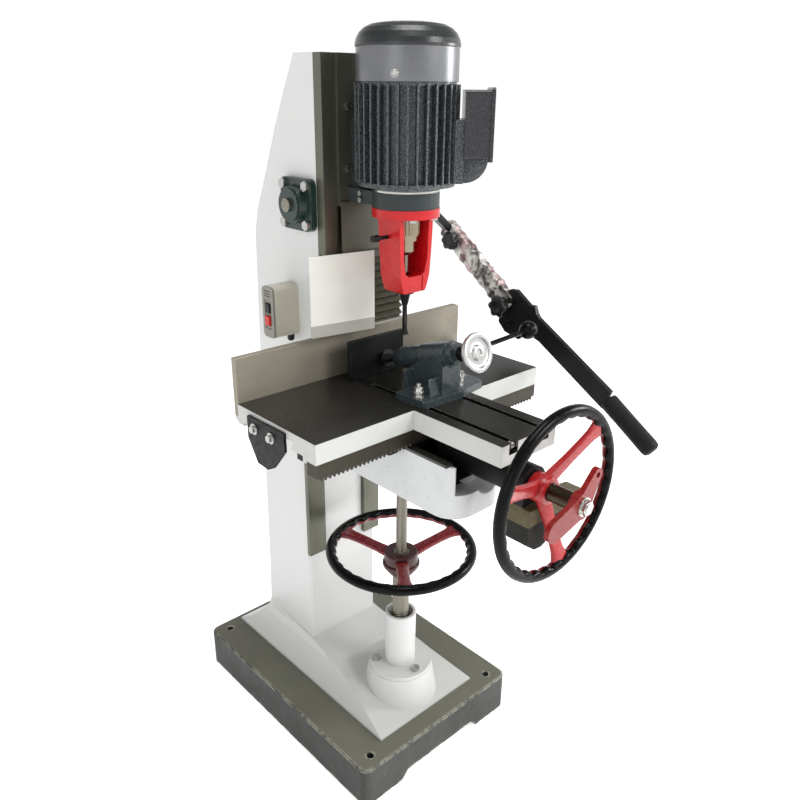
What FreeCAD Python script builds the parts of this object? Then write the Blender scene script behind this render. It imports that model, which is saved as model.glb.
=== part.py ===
import FreeCAD, Part
import Sketcher
import math
import os
import re

# Floor-standing hollow-chisel mortiser. Millimetres. +Z up, +X to the
# operator's right, -Y towards the operator, +Y to the back of the column.
# The origin is the middle of the base's underside.

doc = FreeCAD.newDocument("mortiser")
V = FreeCAD.Vector

# ---------------------------------------------------------------- dimensions
DIMS = [
    # base plate
    ("base_w", 440), ("base_d", 612), ("base_h", 92), ("base_corner", 20),
    ("base_wall", 15), ("base_top", 18), ("hole_r", 8), ("hole_sx", 360), ("hole_sy", 550),
    ("foot_gap_w", 205), ("foot_gap_h", 20),
    # column
    ("ped_half", 139), ("ped_front", -262), ("ped_back", 289), ("ped_lip", 98),
    ("col_half", 96), ("col_foot_z", 163), ("col_low_y", 30), ("col_mid_y", -4),
    ("col_up_y", -36), ("col_back", 205), ("col_top_z", 1436), ("col_wall", 12),
    ("boss_y", -170), ("boss_z", 170), ("boss_top_r", 71), ("boss_bot_r", 86),
    ("boss_bore_r", 26),
    # head ways
    ("way_y", -46), ("way_z", 1090), ("keeper_y", -58), ("keeper_in", 66),
    ("slide_half", 65.7), ("slide_front", -64), ("slide_z", 1190),
    ("slide_top", 1436),
    # knee ways
    ("strip_in", 56), ("strip_out", 102), ("strip_y", 20), ("strip_z", 398), ("strip_top", 862),
    # lift tube and screw
    ("tube_r", 34), ("tube_top", 308), ("flange_r", 70), ("flange_t", 10),
    ("nut_bore", 18.05), ("sleeve_r", 18), ("sleeve_z", 222), ("screw_r", 11.5),
    ("wheel_z", 468), ("wheel_rim", 149.5), ("wheel_tube", 11.5),
    # lever shaft
    ("shaft_y", 12), ("shaft_z", 1178), ("shaft_r", 12.5), ("shaft_right", 208), ("shaft_left", -133),
    ("hub_x", 190), ("lever_x", 329), ("pinion_r", 60),
    # spindle
    ("axis_y", -172), ("motor_fin_r", 90.5), ("motor_core_r", 78), ("cover_r", 87),
    ("yoke_half", 41), ("yoke_d", 58), ("yoke_top", 1184), ("yoke_bot", 1032),
    ("tip_z", 946), ("chisel_a", 6.4),
    # table group
    ("table_z", 838), ("table_half", 290), ("table_front", -271), ("table_back", -34),
    ("table_skirt", 38), ("table_top_t", 12), ("ext_left", -67), ("ext_right", 77),
    ("ext_front", -480), ("slot_left", -37), ("slot_right", 47), ("slot_w", 12),
    ("fence_top", 925), ("fence_t", 14), ("fence_left", -288), ("fence_right", 298),
    ("rack_z", 767), ("rack_d", 28),
    # knee and saddle
    ("knee_half", 75), ("knee_z", 652), ("knee_top", 757), ("knee_nose", -385),
    ("trough_half", 58), ("trough_z", 700), ("rail_top", 763), ("saddle_half", 140),
    ("saddle_front", -238), ("saddle_back", -54),
    # feed shaft
    ("feed_x", 18), ("feed_z", 743), ("feed_shaft_r", 16), ("cross_r", 9),
    ("feed_wheel_y", -537), ("feed_pinion_r", 27),
    # vise
    ("vise_x", 32), ("vise_tilt", 16.5), ("ram_r", 10), ("jaw_y", -75), ("jaw_left", -62), ("jaw_right", 80), ("jaw_top", 920),
    # switch box
    ("sw_x", -155), ("sw_y", 34), ("sw_w", 38), ("sw_z", 918), ("sw_h", 103),
]
D = dict(DIMS)
sheet = doc.addObject("Spreadsheet::Sheet", "dims")
for i, (name, value) in enumerate(DIMS):
    sheet.set("A%d" % (i + 1), name)
    sheet.set("B%d" % (i + 1), str(value))
    sheet.setAlias("B%d" % (i + 1), name)
doc.recompute()

NAMES = re.compile(r"\b(" + "|".join(sorted(D, key=len, reverse=True)) + r")\b")


def ex(e):
    """Expression text with every dimension pointed at the sheet."""
    return NAMES.sub(r"dims.\1", str(e))


def val(e):
    """The same expression as a number."""
    if isinstance(e, (int, float)):
        return float(e)
    o = doc.getObject("calc")
    if o is None:
        o = doc.addObject("App::FeaturePython", "calc")
        o.addProperty("App::PropertyFloat", "value")
    o.setExpression("value", ex(e))
    o.recompute()
    return float(o.value)


count = [0]


def name(prefix):
    count[0] += 1
    return "%s_%03d" % (prefix, count[0])


def place(o, x, y, z, rot=None):
    for axis, e in zip("xyz", (x, y, z)):
        if isinstance(e, str):
            o.setExpression("Placement.Base." + axis, ex(e))
        else:
            setattr(o.Placement.Base, axis, e)
            p = o.Placement
            b = p.Base
            setattr(b, axis, float(e))
            p.Base = b
            o.Placement = p
    if rot:
        p = o.Placement
        p.Rotation = FreeCAD.Rotation(V(*rot[0]), rot[1])
        o.Placement = p


def put(o, prop, e):
    if isinstance(e, str):
        o.setExpression(prop, ex(e))
    else:
        setattr(o, prop, float(e))


def box(x0, x1, y0, y1, z0, z1):
    o = doc.addObject("Part::Box", name("box"))
    put(o, "Length", "(%s)-(%s)" % (x1, x0))
    put(o, "Width", "(%s)-(%s)" % (y1, y0))
    put(o, "Height", "(%s)-(%s)" % (z1, z0))
    place(o, str(x0) if isinstance(x0, str) else x0, str(y0) if isinstance(y0, str) else y0,
          str(z0) if isinstance(z0, str) else z0)
    return o


ROT = {"z": None, "x": ((0, 1, 0), 90), "y": ((1, 0, 0), -90)}


def cyl(r, h, x, y, z, axis="z", rot=None):
    """Cylinder growing along +axis from the given point."""
    o = doc.addObject("Part::Cylinder", name("cyl"))
    put(o, "Radius", r)
    put(o, "Height", h)
    place(o, x, y, z, rot or ROT[axis])
    return o


def cone(ra, rb, h, x, y, z, axis="z", rot=None):
    o = doc.addObject("Part::Cone", name("cone"))
    put(o, "Radius1", ra)
    put(o, "Radius2", rb)
    put(o, "Height", h)
    place(o, x, y, z, rot or ROT[axis])
    return o


def fuse(*parts):
    if len(parts) == 1:
        return parts[0]
    o = doc.addObject("Part::MultiFuse", name("fuse"))
    o.Shapes = list(parts)
    o.Refine = True
    return o


def cut(base, *tools):
    o = doc.addObject("Part::Cut", name("cut"))
    o.Base = base
    o.Tool = fuse(*tools)
    o.Refine = True
    return o


def common(a, b):
    o = doc.addObject("Part::MultiCommon", name("common"))
    o.Shapes = [a, b]
    return o


PLANE = {"xy": ("XY_Plane", 1), "xz": ("XZ_Plane", -1), "yz": ("YZ_Plane", 1)}


def prism(plane, pts, a, b):
    """PartDesign pad of a closed polygon, between a and b along the plane's normal axis."""
    body = doc.addObject("PartDesign::Body", name("body"))
    role, sign = PLANE[plane]
    support = [o for o in body.Origin.OriginFeatures if o.Role == role][0]
    sk = body.newObject("Sketcher::SketchObject", name("sketch"))
    sk.AttachmentSupport = [(support, "")]
    sk.MapMode = "FlatFace"
    n = len(pts)
    num = [(val(p[0]), val(p[1])) for p in pts]
    for i in range(n):
        p, q = num[i], num[(i + 1) % n]
        sk.addGeometry(Part.LineSegment(V(p[0], p[1], 0), V(q[0], q[1], 0)), False)
    for i in range(n):
        sk.addConstraint(Sketcher.Constraint("Coincident", i, 2, (i + 1) % n, 1))
    for i in range(n):
        k = sk.addConstraint(Sketcher.Constraint("DistanceX", -1, 1, i, 1, num[i][0]))
        if isinstance(pts[i][0], str):
            sk.setExpression("Constraints[%d]" % k, ex(pts[i][0]))
        k = sk.addConstraint(Sketcher.Constraint("DistanceY", -1, 1, i, 1, num[i][1]))
        if isinstance(pts[i][1], str):
            sk.setExpression("Constraints[%d]" % k, ex(pts[i][1]))
    start = "(%s)" % a if sign > 0 else "-(%s)" % b
    sk.setExpression("AttachmentOffset.Base.z", ex(start))
    pad = body.newObject("PartDesign::Pad", name("pad"))
    pad.Profile = sk
    pad.setExpression("Length", ex("(%s)-(%s)" % (b, a)))
    return body


def solid(shape):
    """A plain feature for a shape made with Part functions from sheet sizes."""
    o = doc.addObject("Part::Feature", name("shape"))
    where = shape.Placement
    o.Shape = shape
    o.Placement = where
    return o


def rounded(o, radius, test):
    """Fillet of the edges that the test picks."""
    doc.recompute()
    f = doc.addObject("Part::Fillet", name("fillet"))
    f.Base = o
    f.Edges = [(i + 1, radius, radius) for i, e in enumerate(o.Shape.Edges) if test(e)]
    return f


def bevel(o, size, test):
    doc.recompute()
    f = doc.addObject("Part::Chamfer", name("chamfer"))
    f.Base = o
    f.Edges = [(i + 1, size, size) for i, e in enumerate(o.Shape.Edges) if test(e)]
    return f


def along(e, axis, tol=1e-6):
    if len(e.Vertexes) != 2:
        return False
    d = e.Vertexes[1].Point - e.Vertexes[0].Point
    if d.Length < 1e-9 or abs(d.Length - e.Length) > 1e-6:
        return False
    d = d.normalize()
    return abs(abs(getattr(d, axis)) - 1) < tol


def mid(e):
    b = e.BoundBox
    return b.Center


NODES = []


def node(label, o):
    doc.recompute()
    sol = o.Shape.Solids
    print(label, len(sol), round(o.Shape.Volume / 1000.0, 1))
    NODES.append((label, o))
    o.Label = label
    return o


# ------------------------------------------------------------- shape helpers
def screw_head(r, h, x, y, z, direction):
    """Hexagon head whose seat is at the point and which grows along direction."""
    pts = [V(r * math.cos(math.radians(60 * k)), r * math.sin(math.radians(60 * k)), 0) for k in range(7)]
    s = Part.Face(Part.makePolygon(pts)).extrude(V(0, 0, h))
    s.Placement = FreeCAD.Placement(V(x, y, z), FreeCAD.Rotation(V(0, 0, 1), V(*direction)))
    return s


def round_head(r, h, x, y, z, direction, socket=0.0):
    s = Part.makeCylinder(r, h)
    if socket:
        s = s.cut(Part.makeCylinder(socket, h * 0.6, V(0, 0, h * 0.4)))
    s.Placement = FreeCAD.Placement(V(x, y, z), FreeCAD.Rotation(V(0, 0, 1), V(*direction)))
    return s


def gear(teeth, module, width, thin=0.44):
    """Spur gear with involute flanks, axis along Z from z = 0, a tooth pointing along +X."""
    rp = teeth * module / 2.0
    ra = rp + module
    rf = rp - 1.25 * module
    rb = rp * math.cos(math.radians(20))
    pts = []

    def inv(r):
        a = math.acos(min(1.0, rb / r))
        return math.tan(a) - a

    half = thin * math.pi * module / (2 * rp)
    ip = inv(rp)
    for k in range(teeth):
        c = 2 * math.pi * k / teeth
        rs = [max(rb, rf + 0.2 * module) + (ra - max(rb, rf + 0.2 * module)) * j / 5.0 for j in range(6)]
        left = [(r, c - half - ip + inv(r)) for r in rs]
        right = [(r, c + half + ip - inv(r)) for r in reversed(rs)]
        pts.append((rf, left[0][1]))
        pts += left + right
        pts.append((rf, right[-1][1]))
    v = [V(r * math.cos(a), r * math.sin(a), 0) for r, a in pts]
    v.append(v[0])
    return Part.Face(Part.makePolygon(v)).extrude(V(0, 0, width))


def rack_profile(length, module, body, thin=0.44, phase=0.0):
    """Rack outline in a plane: u along the rack from 0 to length, v = 0 on the pitch line,
    teeth towards +v, back at -body."""
    p = math.pi * module
    add, ded = module, 1.25 * module
    t = math.tan(math.radians(20))
    pts = [(0.0, -body), (0.0, -ded)]
    k0 = int(math.ceil((0 - phase) / p - 0.5))
    k = k0
    while True:
        c = phase + k * p
        hw = thin * p / 2.0
        a0, a1 = c - hw - ded * t, c + hw + ded * t
        if a1 >= length:
            break
        if a0 > 0:
            pts += [(a0, -ded), (c - hw + add * t, add), (c + hw - add * t, add), (a1, -ded)]
        k += 1
    pts += [(length, -ded), (length, -body)]
    return pts


# ------------------------------------------------------------------ base
def make_base():
    outer = box("-base_w/2", "base_w/2", "-base_d/2", "base_d/2", 0, "base_h")
    outer = rounded(outer, D["base_corner"], lambda e: along(e, "z"))
    outer = bevel(outer, 3.0, lambda e: abs(mid(e).z - D["base_h"]) < 1e-3)
    hollow = box("-base_w/2+base_wall", "base_w/2-base_wall", "-base_d/2+base_wall",
                 "base_d/2-base_wall", -1, "base_h-base_top")
    body = cut(outer, hollow)
    posts = [cyl(28, "base_h-base_top", "%s*hole_sx/2" % sx, "%s*hole_sy/2" % sy, 0)
             for sx in ("-1", "1") for sy in ("-1", "1")]
    body = fuse(body, *posts)
    gaps = []
    for ya, yb in (("-base_d/2-1", "-base_d/2+base_wall+1"), ("base_d/2-base_wall-1", "base_d/2+1")):
        gaps.append(prism("xz", [("-foot_gap_w/2-14", -1), ("foot_gap_w/2+14", -1),
                                 ("foot_gap_w/2-4", "foot_gap_h"), ("-foot_gap_w/2+4", "foot_gap_h")], ya, yb))
    holes = [cyl("hole_r", 200, "%s*hole_sx/2" % sx, "%s*hole_sy/2" % sy, -10)
             for sx in ("-1", "1") for sy in ("-1", "1")]
    # cored hole under the column, so that the hollow column is open from below
    core = box(-84, 84, 42, 164, "base_h-base_top-1", "base_h+1")
    return cut(body, core, *(gaps + holes))


node("base_plate", make_base())


# ------------------------------------------------------------------ column
def make_column():
    # flared foot: side outline and front outline crossed
    side = prism("yz", [("ped_front", "base_h"), ("ped_front", "base_h+5"), (-108, 140), ("col_low_y", "col_foot_z"),
                        ("col_back", "col_foot_z+22"), (216, 158), (238, 132), (262, 112), ("ped_back", "base_h+5"),
                        ("ped_back", "base_h")], "-ped_half", "ped_half")
    front = prism("xz", [("-ped_half", "base_h"), ("-ped_half", "base_h+5"), (-117, 126), (-105, 145),
                         ("-ped_lip", "col_foot_z"), ("-col_half", "col_foot_z+24"), ("col_half", "col_foot_z+24"),
                         ("ped_lip", "col_foot_z"), (105, 145), (117, 126), ("ped_half", "base_h+5"),
                         ("ped_half", "base_h")], "ped_front", "ped_back")
    foot = common(side, front)
    in_side = prism("yz", [("ped_front+16", "base_h-1"), ("ped_front+60", "base_h+8"), (-104, 126), (20, 148),
                           ("col_back-14", 150), (212, 128), (250, 100), ("ped_back-14", "base_h-1")],
                    "-ped_half+14", "ped_half-14")
    in_front = prism("xz", [("-ped_half+14", "base_h-1"), (-108, 122), ("-col_half+14", 148), ("col_half-14", 148),
                            (108, 122), ("ped_half-14", "base_h-1")], "ped_front+10", "ped_back-10")
    foot = cut(foot, common(in_side, in_front))
    boss = cone("boss_bot_r", "boss_top_r", "boss_z-base_h-4", 0, "boss_y", "base_h+4")
    trim = box("-ped_half+3", "ped_half-3", "ped_front+3", "col_low_y", "base_h", "boss_z+1")
    boss = common(boss, trim)
    shaft = prism("yz", [("col_low_y", "col_foot_z-12"), ("col_low_y", 862), ("col_mid_y", 900), ("col_mid_y", 1044),
                         ("col_up_y", 1084), ("col_up_y", "col_top_z"), (20, "col_top_z"), (49, 1384), (91, 1305),
                         (130, 1220), (164, 1150), (176, 1107), (186, 857), (194, 549), (200, 299),
                         ("col_back", "col_foot_z+22"), ("col_back", "col_foot_z-12")], "-col_half", "col_half")
    shaft = bevel(shaft, 6.0, lambda e: along(e, "z") and abs(mid(e).y - D["col_low_y"]) < 1e-3 and e.Length > 400)
    inner = prism("yz", [("col_low_y+col_wall", 120), ("col_low_y+col_wall", 862), ("col_mid_y+col_wall", 902),
                         ("col_mid_y+col_wall", 1046), ("col_up_y+col_wall", 1088), ("col_up_y+col_wall", "col_top_z-col_wall"),
                         (14, "col_top_z-col_wall"), (40, 1378), (80, 1300), (119, 1215), (152, 1147), (164, 1107),
                         (174, 857), (182, 549), (188, 299), ("col_back-col_wall", 160), ("col_back-col_wall", 120)],
                  "-col_half+col_wall", "col_half-col_wall")
    body = fuse(foot, boss, shaft)
    bore = cyl("boss_bore_r", 200, 0, "boss_y", "base_h-10")
    eye = cyl("shaft_r+10", "2*col_half+20", "-col_half-10", "shaft_y", "shaft_z", "x")
    slot = box(-13, 13, "col_up_y-2", "col_up_y+col_wall+4", "shaft_z-68", "shaft_z+68")
    wire = cyl(7, 40, "-col_half-10", 53, "sw_z+40", "x")
    return cut(body, inner, bore, eye, slot, wire)


node("column", make_column())

# head ways on the upper front of the column
way = box("-col_half", "col_half", "way_y", "col_up_y", "way_z", "col_top_z")
node("head_way_plate", cut(way, box(-13, 13, "way_y-1", "col_up_y+1", "way_z-1", "shaft_z+116")))


def keeper(s):
    a, b, c = ("keeper_in", "keeper_in+9.6", "col_half")
    if s > 0:
        return prism("xy", [(a, "keeper_y"), (c, "keeper_y"), (c, "way_y"), (b, "way_y"), (b, "way_y-7.7"), (a, "way_y-7.7")],
                     "way_z", "col_top_z")
    m = lambda e: "-(%s)" % e
    return prism("xy", [(m(a), "keeper_y"), (m(a), "way_y-7.7"), (m(b), "way_y-7.7"), (m(b), "way_y"), (m(c), "way_y"), (m(c), "keeper_y")],
                 "way_z-15", "col_top_z")


# the left bar is a little longer and carries the panel in front of the cover
node("head_keeper_bars", fuse(keeper(1), keeper(-1)))

# ground strips the knee runs on
strip = lambda a, b: bevel(box(a, b, "strip_y", "col_low_y", "strip_z", "strip_top"), 1.0,
                           lambda e: along(e, "z") and abs(mid(e).y - D["strip_y"]) < 1e-3)
node("knee_way_strips", fuse(strip("strip_in", "strip_out"), strip("-strip_out", "-strip_in")))

# pleated cover hanging between the head ways and the table
def make_bellows():
    z0, z1 = 943.0, 1070.0
    n = 9
    p = (z1 - z0) / n
    ya, yb = -66.0, -52.0
    pts = [(-44.0, z0), (-50.0, z0)]
    for k in range(n):
        pts += [(ya, z0 + p * (k + 0.35)), (ya, z0 + p * (k + 0.65)), (yb, z0 + p * (k + 0.95)), (yb, z0 + p * (k + 1.0))]
    pts = pts[:-1] + [(-50.0, z1), (-50.0, 1089.8), ("col_up_y", 1089.8), ("col_up_y", 1084.5), (-44.0, z1)]
    return cut(prism("yz", pts, "-col_half", "col_half"), box(-97, "-keeper_in+0.4", -70, "way_y+0.3", "way_z-15.4", "way_z+1"))


node("way_bellows", make_bellows())
# bare sheet panel standing askew in front of the pleated cover, with its spacer on the left keeper bar
pan = prism("xy", [(-137, -61.5), (0, -85.5), (0.3, -84), (-136.7, -60)], 938, 1093)
node("plain_panel", fuse(pan, prism("xy", [(-92, -68.3), (-70, -72.2), (-70, "keeper_y"), (-92, "keeper_y")], 1077, 1090)))

# lift nut tube on the cone
def make_tube():
    o = fuse(cyl("tube_r", "tube_top-boss_z", 0, "boss_y", "boss_z"),
             cyl("flange_r", "flange_t", 0, "boss_y", "boss_z"))
    return cut(o, cyl("nut_bore", 300, 0, "boss_y", "boss_z-5"), cyl("tube_r-6", 60, 0, "boss_y", "tube_top-46"))


node("lift_nut_tube", make_tube())
# ------------------------------------------------------- lever shaft bearings
def make_bearing(s):
    """Square four-bolt flange bearing, seat on the column side at |x| = col_half."""
    x0 = D["col_half"]
    yc, zc = D["shaft_y"], D["shaft_z"]
    b = Part.makeBox(13, 95, 95, V(x0, yc - 47.5, zc - 47.5))
    b = b.makeFillet(14, [e for e in b.Edges if along(e, "x")])
    hub = Part.makeCone(36, 33, 14, V(x0 + 13, yc, zc), V(1, 0, 0))
    hub = hub.fuse(Part.makeCylinder(30, 4, V(x0 + 27, yc, zc), V(1, 0, 0)))
    sh = b.fuse(hub)
    sh = sh.cut(Part.makeCylinder(D["shaft_r"] + 0.05, 60, V(x0 - 5, yc, zc), V(1, 0, 0)))
    sh = sh.removeSplitter()
    return sh.mirror(V(0, 0, 0), V(1, 0, 0)) if s < 0 else sh


node("lever_bearings", solid(Part.makeCompound([make_bearing(-1), make_bearing(1)])))
bb = []
for s in (-1, 1):
    for dy in (-35, 35):
        for dz in (-35, 35):
            bb.append(screw_head(9.5, 7.5, s * (D["col_half"] + 13), D["shaft_y"] + dy, D["shaft_z"] + dz, (s, 0, 0)))
for k in range(3):
    a = math.radians(26 + 120 * k)
    bb.append(screw_head(9.5, 7.5, 54 * math.cos(a), D["boss_y"] + 54 * math.sin(a), D["boss_z"] + D["flange_t"], (0, 0, 1)))
node("frame_bolts", solid(Part.makeCompound(bb)))
# ------------------------------------------------------------- switch box
def make_switch():
    b = box("sw_x+3", "-col_half", "sw_y", "sw_y+sw_w", "sw_z", "sw_z+sw_h")
    b = rounded(b, 9.0, lambda e: along(e, "x"))
    hollow = box("sw_x+2", "-col_half-3", "sw_y+3", "sw_y+sw_w-3", "sw_z+4", "sw_z+sw_h-4")
    return cut(b, hollow)


node("switch_box", make_switch())


def make_switch_front():
    b = box("sw_x-1.5", "sw_x+2.8", "sw_y+0.5", "sw_y+sw_w-0.5", "sw_z+0.5", "sw_z+sw_h-0.5")
    b = rounded(b, 8.5, lambda e: along(e, "x"))
    well = box("sw_x-3", "sw_x+0.2", "sw_y+8", "sw_y+sw_w-8", "sw_z+18", "sw_z+78")
    keys = [box("sw_x-5", "sw_x+4", "sw_y+11.5", "sw_y+sw_w-11.5", "sw_z+%s" % a, "sw_z+%s" % b2) for a, b2 in ((25, 45), (50, 70))]
    slots = [box("sw_x-5", "sw_x+1", "sw_y+9", "sw_y+sw_w-9", "sw_z+%d" % z, "sw_z+%d+2" % z) for z in (83, 88, 93)]
    return cut(b, well, *(keys + slots))


node("switch_front", make_switch_front())
node("start_button", rounded(box("sw_x-4", "sw_x+3.5", "sw_y+11.8", "sw_y+sw_w-11.8", "sw_z+50.3", "sw_z+69.7"), 1.5,
                             lambda e: abs(mid(e).x - (D["sw_x"] - 4)) < 1e-3))
node("stop_button", rounded(box("sw_x-5.5", "sw_x+3.5", "sw_y+11.8", "sw_y+sw_w-11.8", "sw_z+25.3", "sw_z+44.7"), 1.5,
                            lambda e: abs(mid(e).x - (D["sw_x"] - 5.5)) < 1e-3))
# ------------------------------------------------------------- head slide
sp = fuse(box("-slide_half", "slide_half", "slide_front", "way_y-0.2", "slide_z", "slide_top"),
          box(-75.2, 75.2, "way_y-7.4", "way_y-0.2", "slide_z", "slide_top"))
# thin apron below the slide, in front of the cover
sp = fuse(sp, box(-65, 65, "slide_front", "way_y-0.2", 1178, "slide_z"), box(-65, 65, -70, -63.9, 1178, 1185.5),
          box(-65, 65, -70, -67.6, 1093, 1178.5))
sp = cut(sp, box(-9.7, 9.7, "way_y-12", "way_y+1", 1160, 1300))
node("head_slide", sp)

# rack in the slide's back, teeth towards the column
rp = rack_profile(120.0, 4.0, 10.0, phase=D["shaft_z"] - 1168.0 + 2 * math.pi)
# pitch line at y = shaft_y - pinion_r
yl = D["shaft_y"] - D["pinion_r"]
vs = [V(-9.5, yl + v, 1168.0 + u) for u, v in rp]
vs.append(vs[0])
node("head_rack", solid(Part.Face(Part.makePolygon(vs)).extrude(V(19, 0, 0))))
sb = []
for x, z in ((-44, 1350), (-44, 1244), (44, 1350), (44, 1244)):
    sb.append(screw_head(7, 5, x, D["slide_front"], z, (0, -1, 0)))
for a in (60, 120, 240, 300):
    a = math.radians(a)
    sb.append(screw_head(7, 5, 52 * math.cos(a), D["axis_y"] + 52 * math.sin(a), D["yoke_top"] - 16, (0, 0, -1)))
for z in (1192.5, 1204):
    sb.append(screw_head(5, 5, -46, -102, z, (-1, 0, 0)))
node("head_bolts", solid(Part.makeCompound(sb)))


def make_bracket():
    """Arm that carries the motor: pad on the slide and a ring round the spindle nose."""
    pad = box(-36, 36, -80, "slide_front", 1190, 1330)
    arm = box(-46, 46, -140, "slide_front", 1186, 1211)
    ring = cyl(60, 28, 0, "axis_y", 1184)
    o = fuse(pad, arm, ring)
    return cut(o, cyl(46.1, 60, 0, "axis_y", 1170))


node("head_bracket", make_bracket())


# ------------------------------------------------------------- motor
def make_motor_frame():
    ay = D["axis_y"]
    core = Part.makeCylinder(D["motor_core_r"], 165, V(0, ay, 1225))
    n = 34
    fins = []
    for k in range(n):
        a = 2 * math.pi * (k + 0.5) / n
        f = Part.makeBox(16, 3.6, 158, V(D["motor_core_r"] - 3.5, -1.8, 1229))
        f.rotate(V(0, 0, 0), V(0, 0, 1), math.degrees(a))
        f.translate(V(0, ay, 0))
        fins.append(f)
    body = core.multiFuse(fins)
    low = Part.makeCylinder(86, 8, V(0, ay, 1222)).fuse(Part.makeCone(53, 80, 12, V(0, ay, 1212), V(0, 0, 1)))
    low = low.fuse(Part.makeCylinder(53, 4, V(0, ay, 1212)))
    spig = Part.makeCylinder(46, 27, V(0, ay, 1185))
    top = Part.makeCylinder(84, 6, V(0, ay, 1384))
    body = body.multiFuse([low, top, spig])
    neck = Part.makeBox(21, 76, 104, V(76, -38, 1228))
    neck.rotate(V(0, 0, 0), V(0, 0, 1), -43)
    neck.translate(V(0, ay, 0))
    body = body.fuse(neck)
    body = body.cut(Part.makeCylinder(56, 130, V(0, ay, 1240)))
    body = body.cut(Part.makeCylinder(14.5, 260, V(0, ay, 1180)))
    return body.removeSplitter()


node("motor_frame", solid(make_motor_frame()))


def make_fan_cover():
    ay = D["axis_y"]
    r = D["cover_r"]
    prof = [(r, 1390.2), (r, 1443), (r + 1.6, 1444), (r + 1.6, 1448), (r - 0.5, 1456), (r - 5, 1464.5), (r - 13, 1472),
            (r - 25, 1477.5), (r - 43, 1480.3), (0, 1481)]
    t = 1.8
    inn = [(0, 1481 - t), (r - 43.2, 1480.3 - t), (r - 25.6, 1477.5 - t), (r - 14, 1472 - t), (r - 6.6, 1463.7), (r - 2.3, 1455.6), (r - t, 1447),
           (r - t, 1390.2)]
    outer = [V(x, 0, z) for x, z in prof]
    inner = [V(x, 0, z) for x, z in inn]
    f = Part.Face(Part.makePolygon(outer + inner + [outer[0]]))
    s = f.revolve(V(0, 0, 0), V(0, 0, 1), 360)
    s.translate(V(0, ay, 0))
    cuts = []
    for ring, cnt in ((22, 8), (37, 14), (52, 20)):
        for k in range(cnt):
            a = 2 * math.pi * k / cnt
            cuts.append(Part.makeCylinder(3.2, 20, V(ring * math.cos(a), ay + ring * math.sin(a), 1464)))
    return s.cut(Part.makeCompound(cuts))


node("motor_fan_cover", solid(make_fan_cover()))
# box on the motor's side, turned towards the front right
def make_tbox(x0, x1, hy, z0, z1, r):
    b = Part.makeBox(x1 - x0, 2 * hy, z1 - z0, V(x0, -hy, z0))
    b = b.makeFillet(r, [e for e in b.Edges if along(e, "x")])
    b.rotate(V(0, 0, 0), V(0, 0, 1), -43)
    b.translate(V(0, D["axis_y"], 0))
    return b


def turned(s):
    s.rotate(V(0, 0, 0), V(0, 0, 1), -43)
    s.translate(V(0, D["axis_y"], 0))
    return s


tb = make_tbox(97, 140, 44, 1267, 1379, 6).cut(make_tbox(100, 141, 40, 1271, 1375, 4))
node("terminal_box", solid(tb))
node("terminal_box_lid", solid(make_tbox(140, 146, 46, 1264, 1383, 7)))
# ------------------------------------------------------------- chisel yoke
def make_yoke():
    side = prism("xz", [("-yoke_half", "yoke_top-16"), ("-yoke_half+2", 1110), ("-yoke_half+5", 1062), (-30, 1040), (-26, "yoke_bot"),
                        (26, "yoke_bot"), (30, 1040), ("yoke_half-5", 1062), ("yoke_half-2", 1110), ("yoke_half", "yoke_top-16")],
                 "axis_y-yoke_d/2", "axis_y+yoke_d/2")
    lean = prism("yz", [("axis_y-yoke_d/2", "yoke_top-16"), ("axis_y-yoke_d/2+1", 1110), ("axis_y-yoke_d/2+2", 1060), ("axis_y-26", "yoke_bot"),
                        ("axis_y+26", "yoke_bot"), ("axis_y+yoke_d/2-2", 1060), ("axis_y+yoke_d/2", "yoke_top-16")],
                 "-yoke_half", "yoke_half")
    body = common(side, lean)
    fl = cyl(61, 16, 0, "axis_y", "yoke_top-16")
    body = fuse(body, fl)
    window = prism("xz", [(-31, 1168), (-29, 1092), (-24, 1068), (-16, 1062), (16, 1062), (24, 1068), (29, 1092), (31, 1168)],
                   "axis_y-60", "axis_y+yoke_d/2-8")
    throat = cyl(26.6, 90, 0, "axis_y", "yoke_top-68")
    bore = cyl(12.05, 60, 0, "axis_y", "yoke_bot-5")
    slit = box(17, 19.5, "axis_y-60", "axis_y", "yoke_bot-5", 1061.5)
    return cut(body, window, throat, bore, slit)


node("chisel_yoke", make_yoke())
kn = Part.makeCylinder(3.5, 22, V(-40, -168, 1134), V(-1, 0, 0))
kn = kn.fuse(Part.makeCylinder(6, 14, V(-62, -168, 1134), V(-1, 0, 0)))
node("yoke_side_handle", solid(kn))

# chisel in the yoke's bore
def make_chisel():
    ay = D["axis_y"]
    sh = Part.makeCylinder(12, 30, V(0, ay, 1030.5))
    sh = sh.fuse(Part.makeCylinder(13, 5, V(0, ay, 1026.5)))
    sh = sh.fuse(Part.makeCone(5.5, 11, 23, V(0, ay, 1003.9), V(0, 0, 1)))
    a = D["chisel_a"] / 2
    sq = Part.makeBox(2 * a, 2 * a, 1006 - 955, V(-a, ay - a, 955))
    b = a + 2.6
    lo = Part.makePolygon([V(-b, ay - b, 946), V(b, ay - b, 946), V(b, ay + b, 946), V(-b, ay + b, 946), V(-b, ay - b, 946)])
    hi = Part.makePolygon([V(-a, ay - a, 957), V(a, ay - a, 957), V(a, ay + a, 957), V(-a, ay + a, 957), V(-a, ay - a, 957)])
    foot = Part.makeLoft([lo, hi], True)
    s = sh.multiFuse([sq, foot])
    s = s.cut(Part.makeCylinder(2.6, 200, V(0, ay, 930)))
    s = s.cut(Part.makeCone(4.8, 2.6, 8, V(0, ay, 945), V(0, 0, 1)))
    win = Part.makeBox(3.4, 20, 20, V(-1.7, ay - 20, 968))
    s = s.cut(win)
    return s.removeSplitter()


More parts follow.
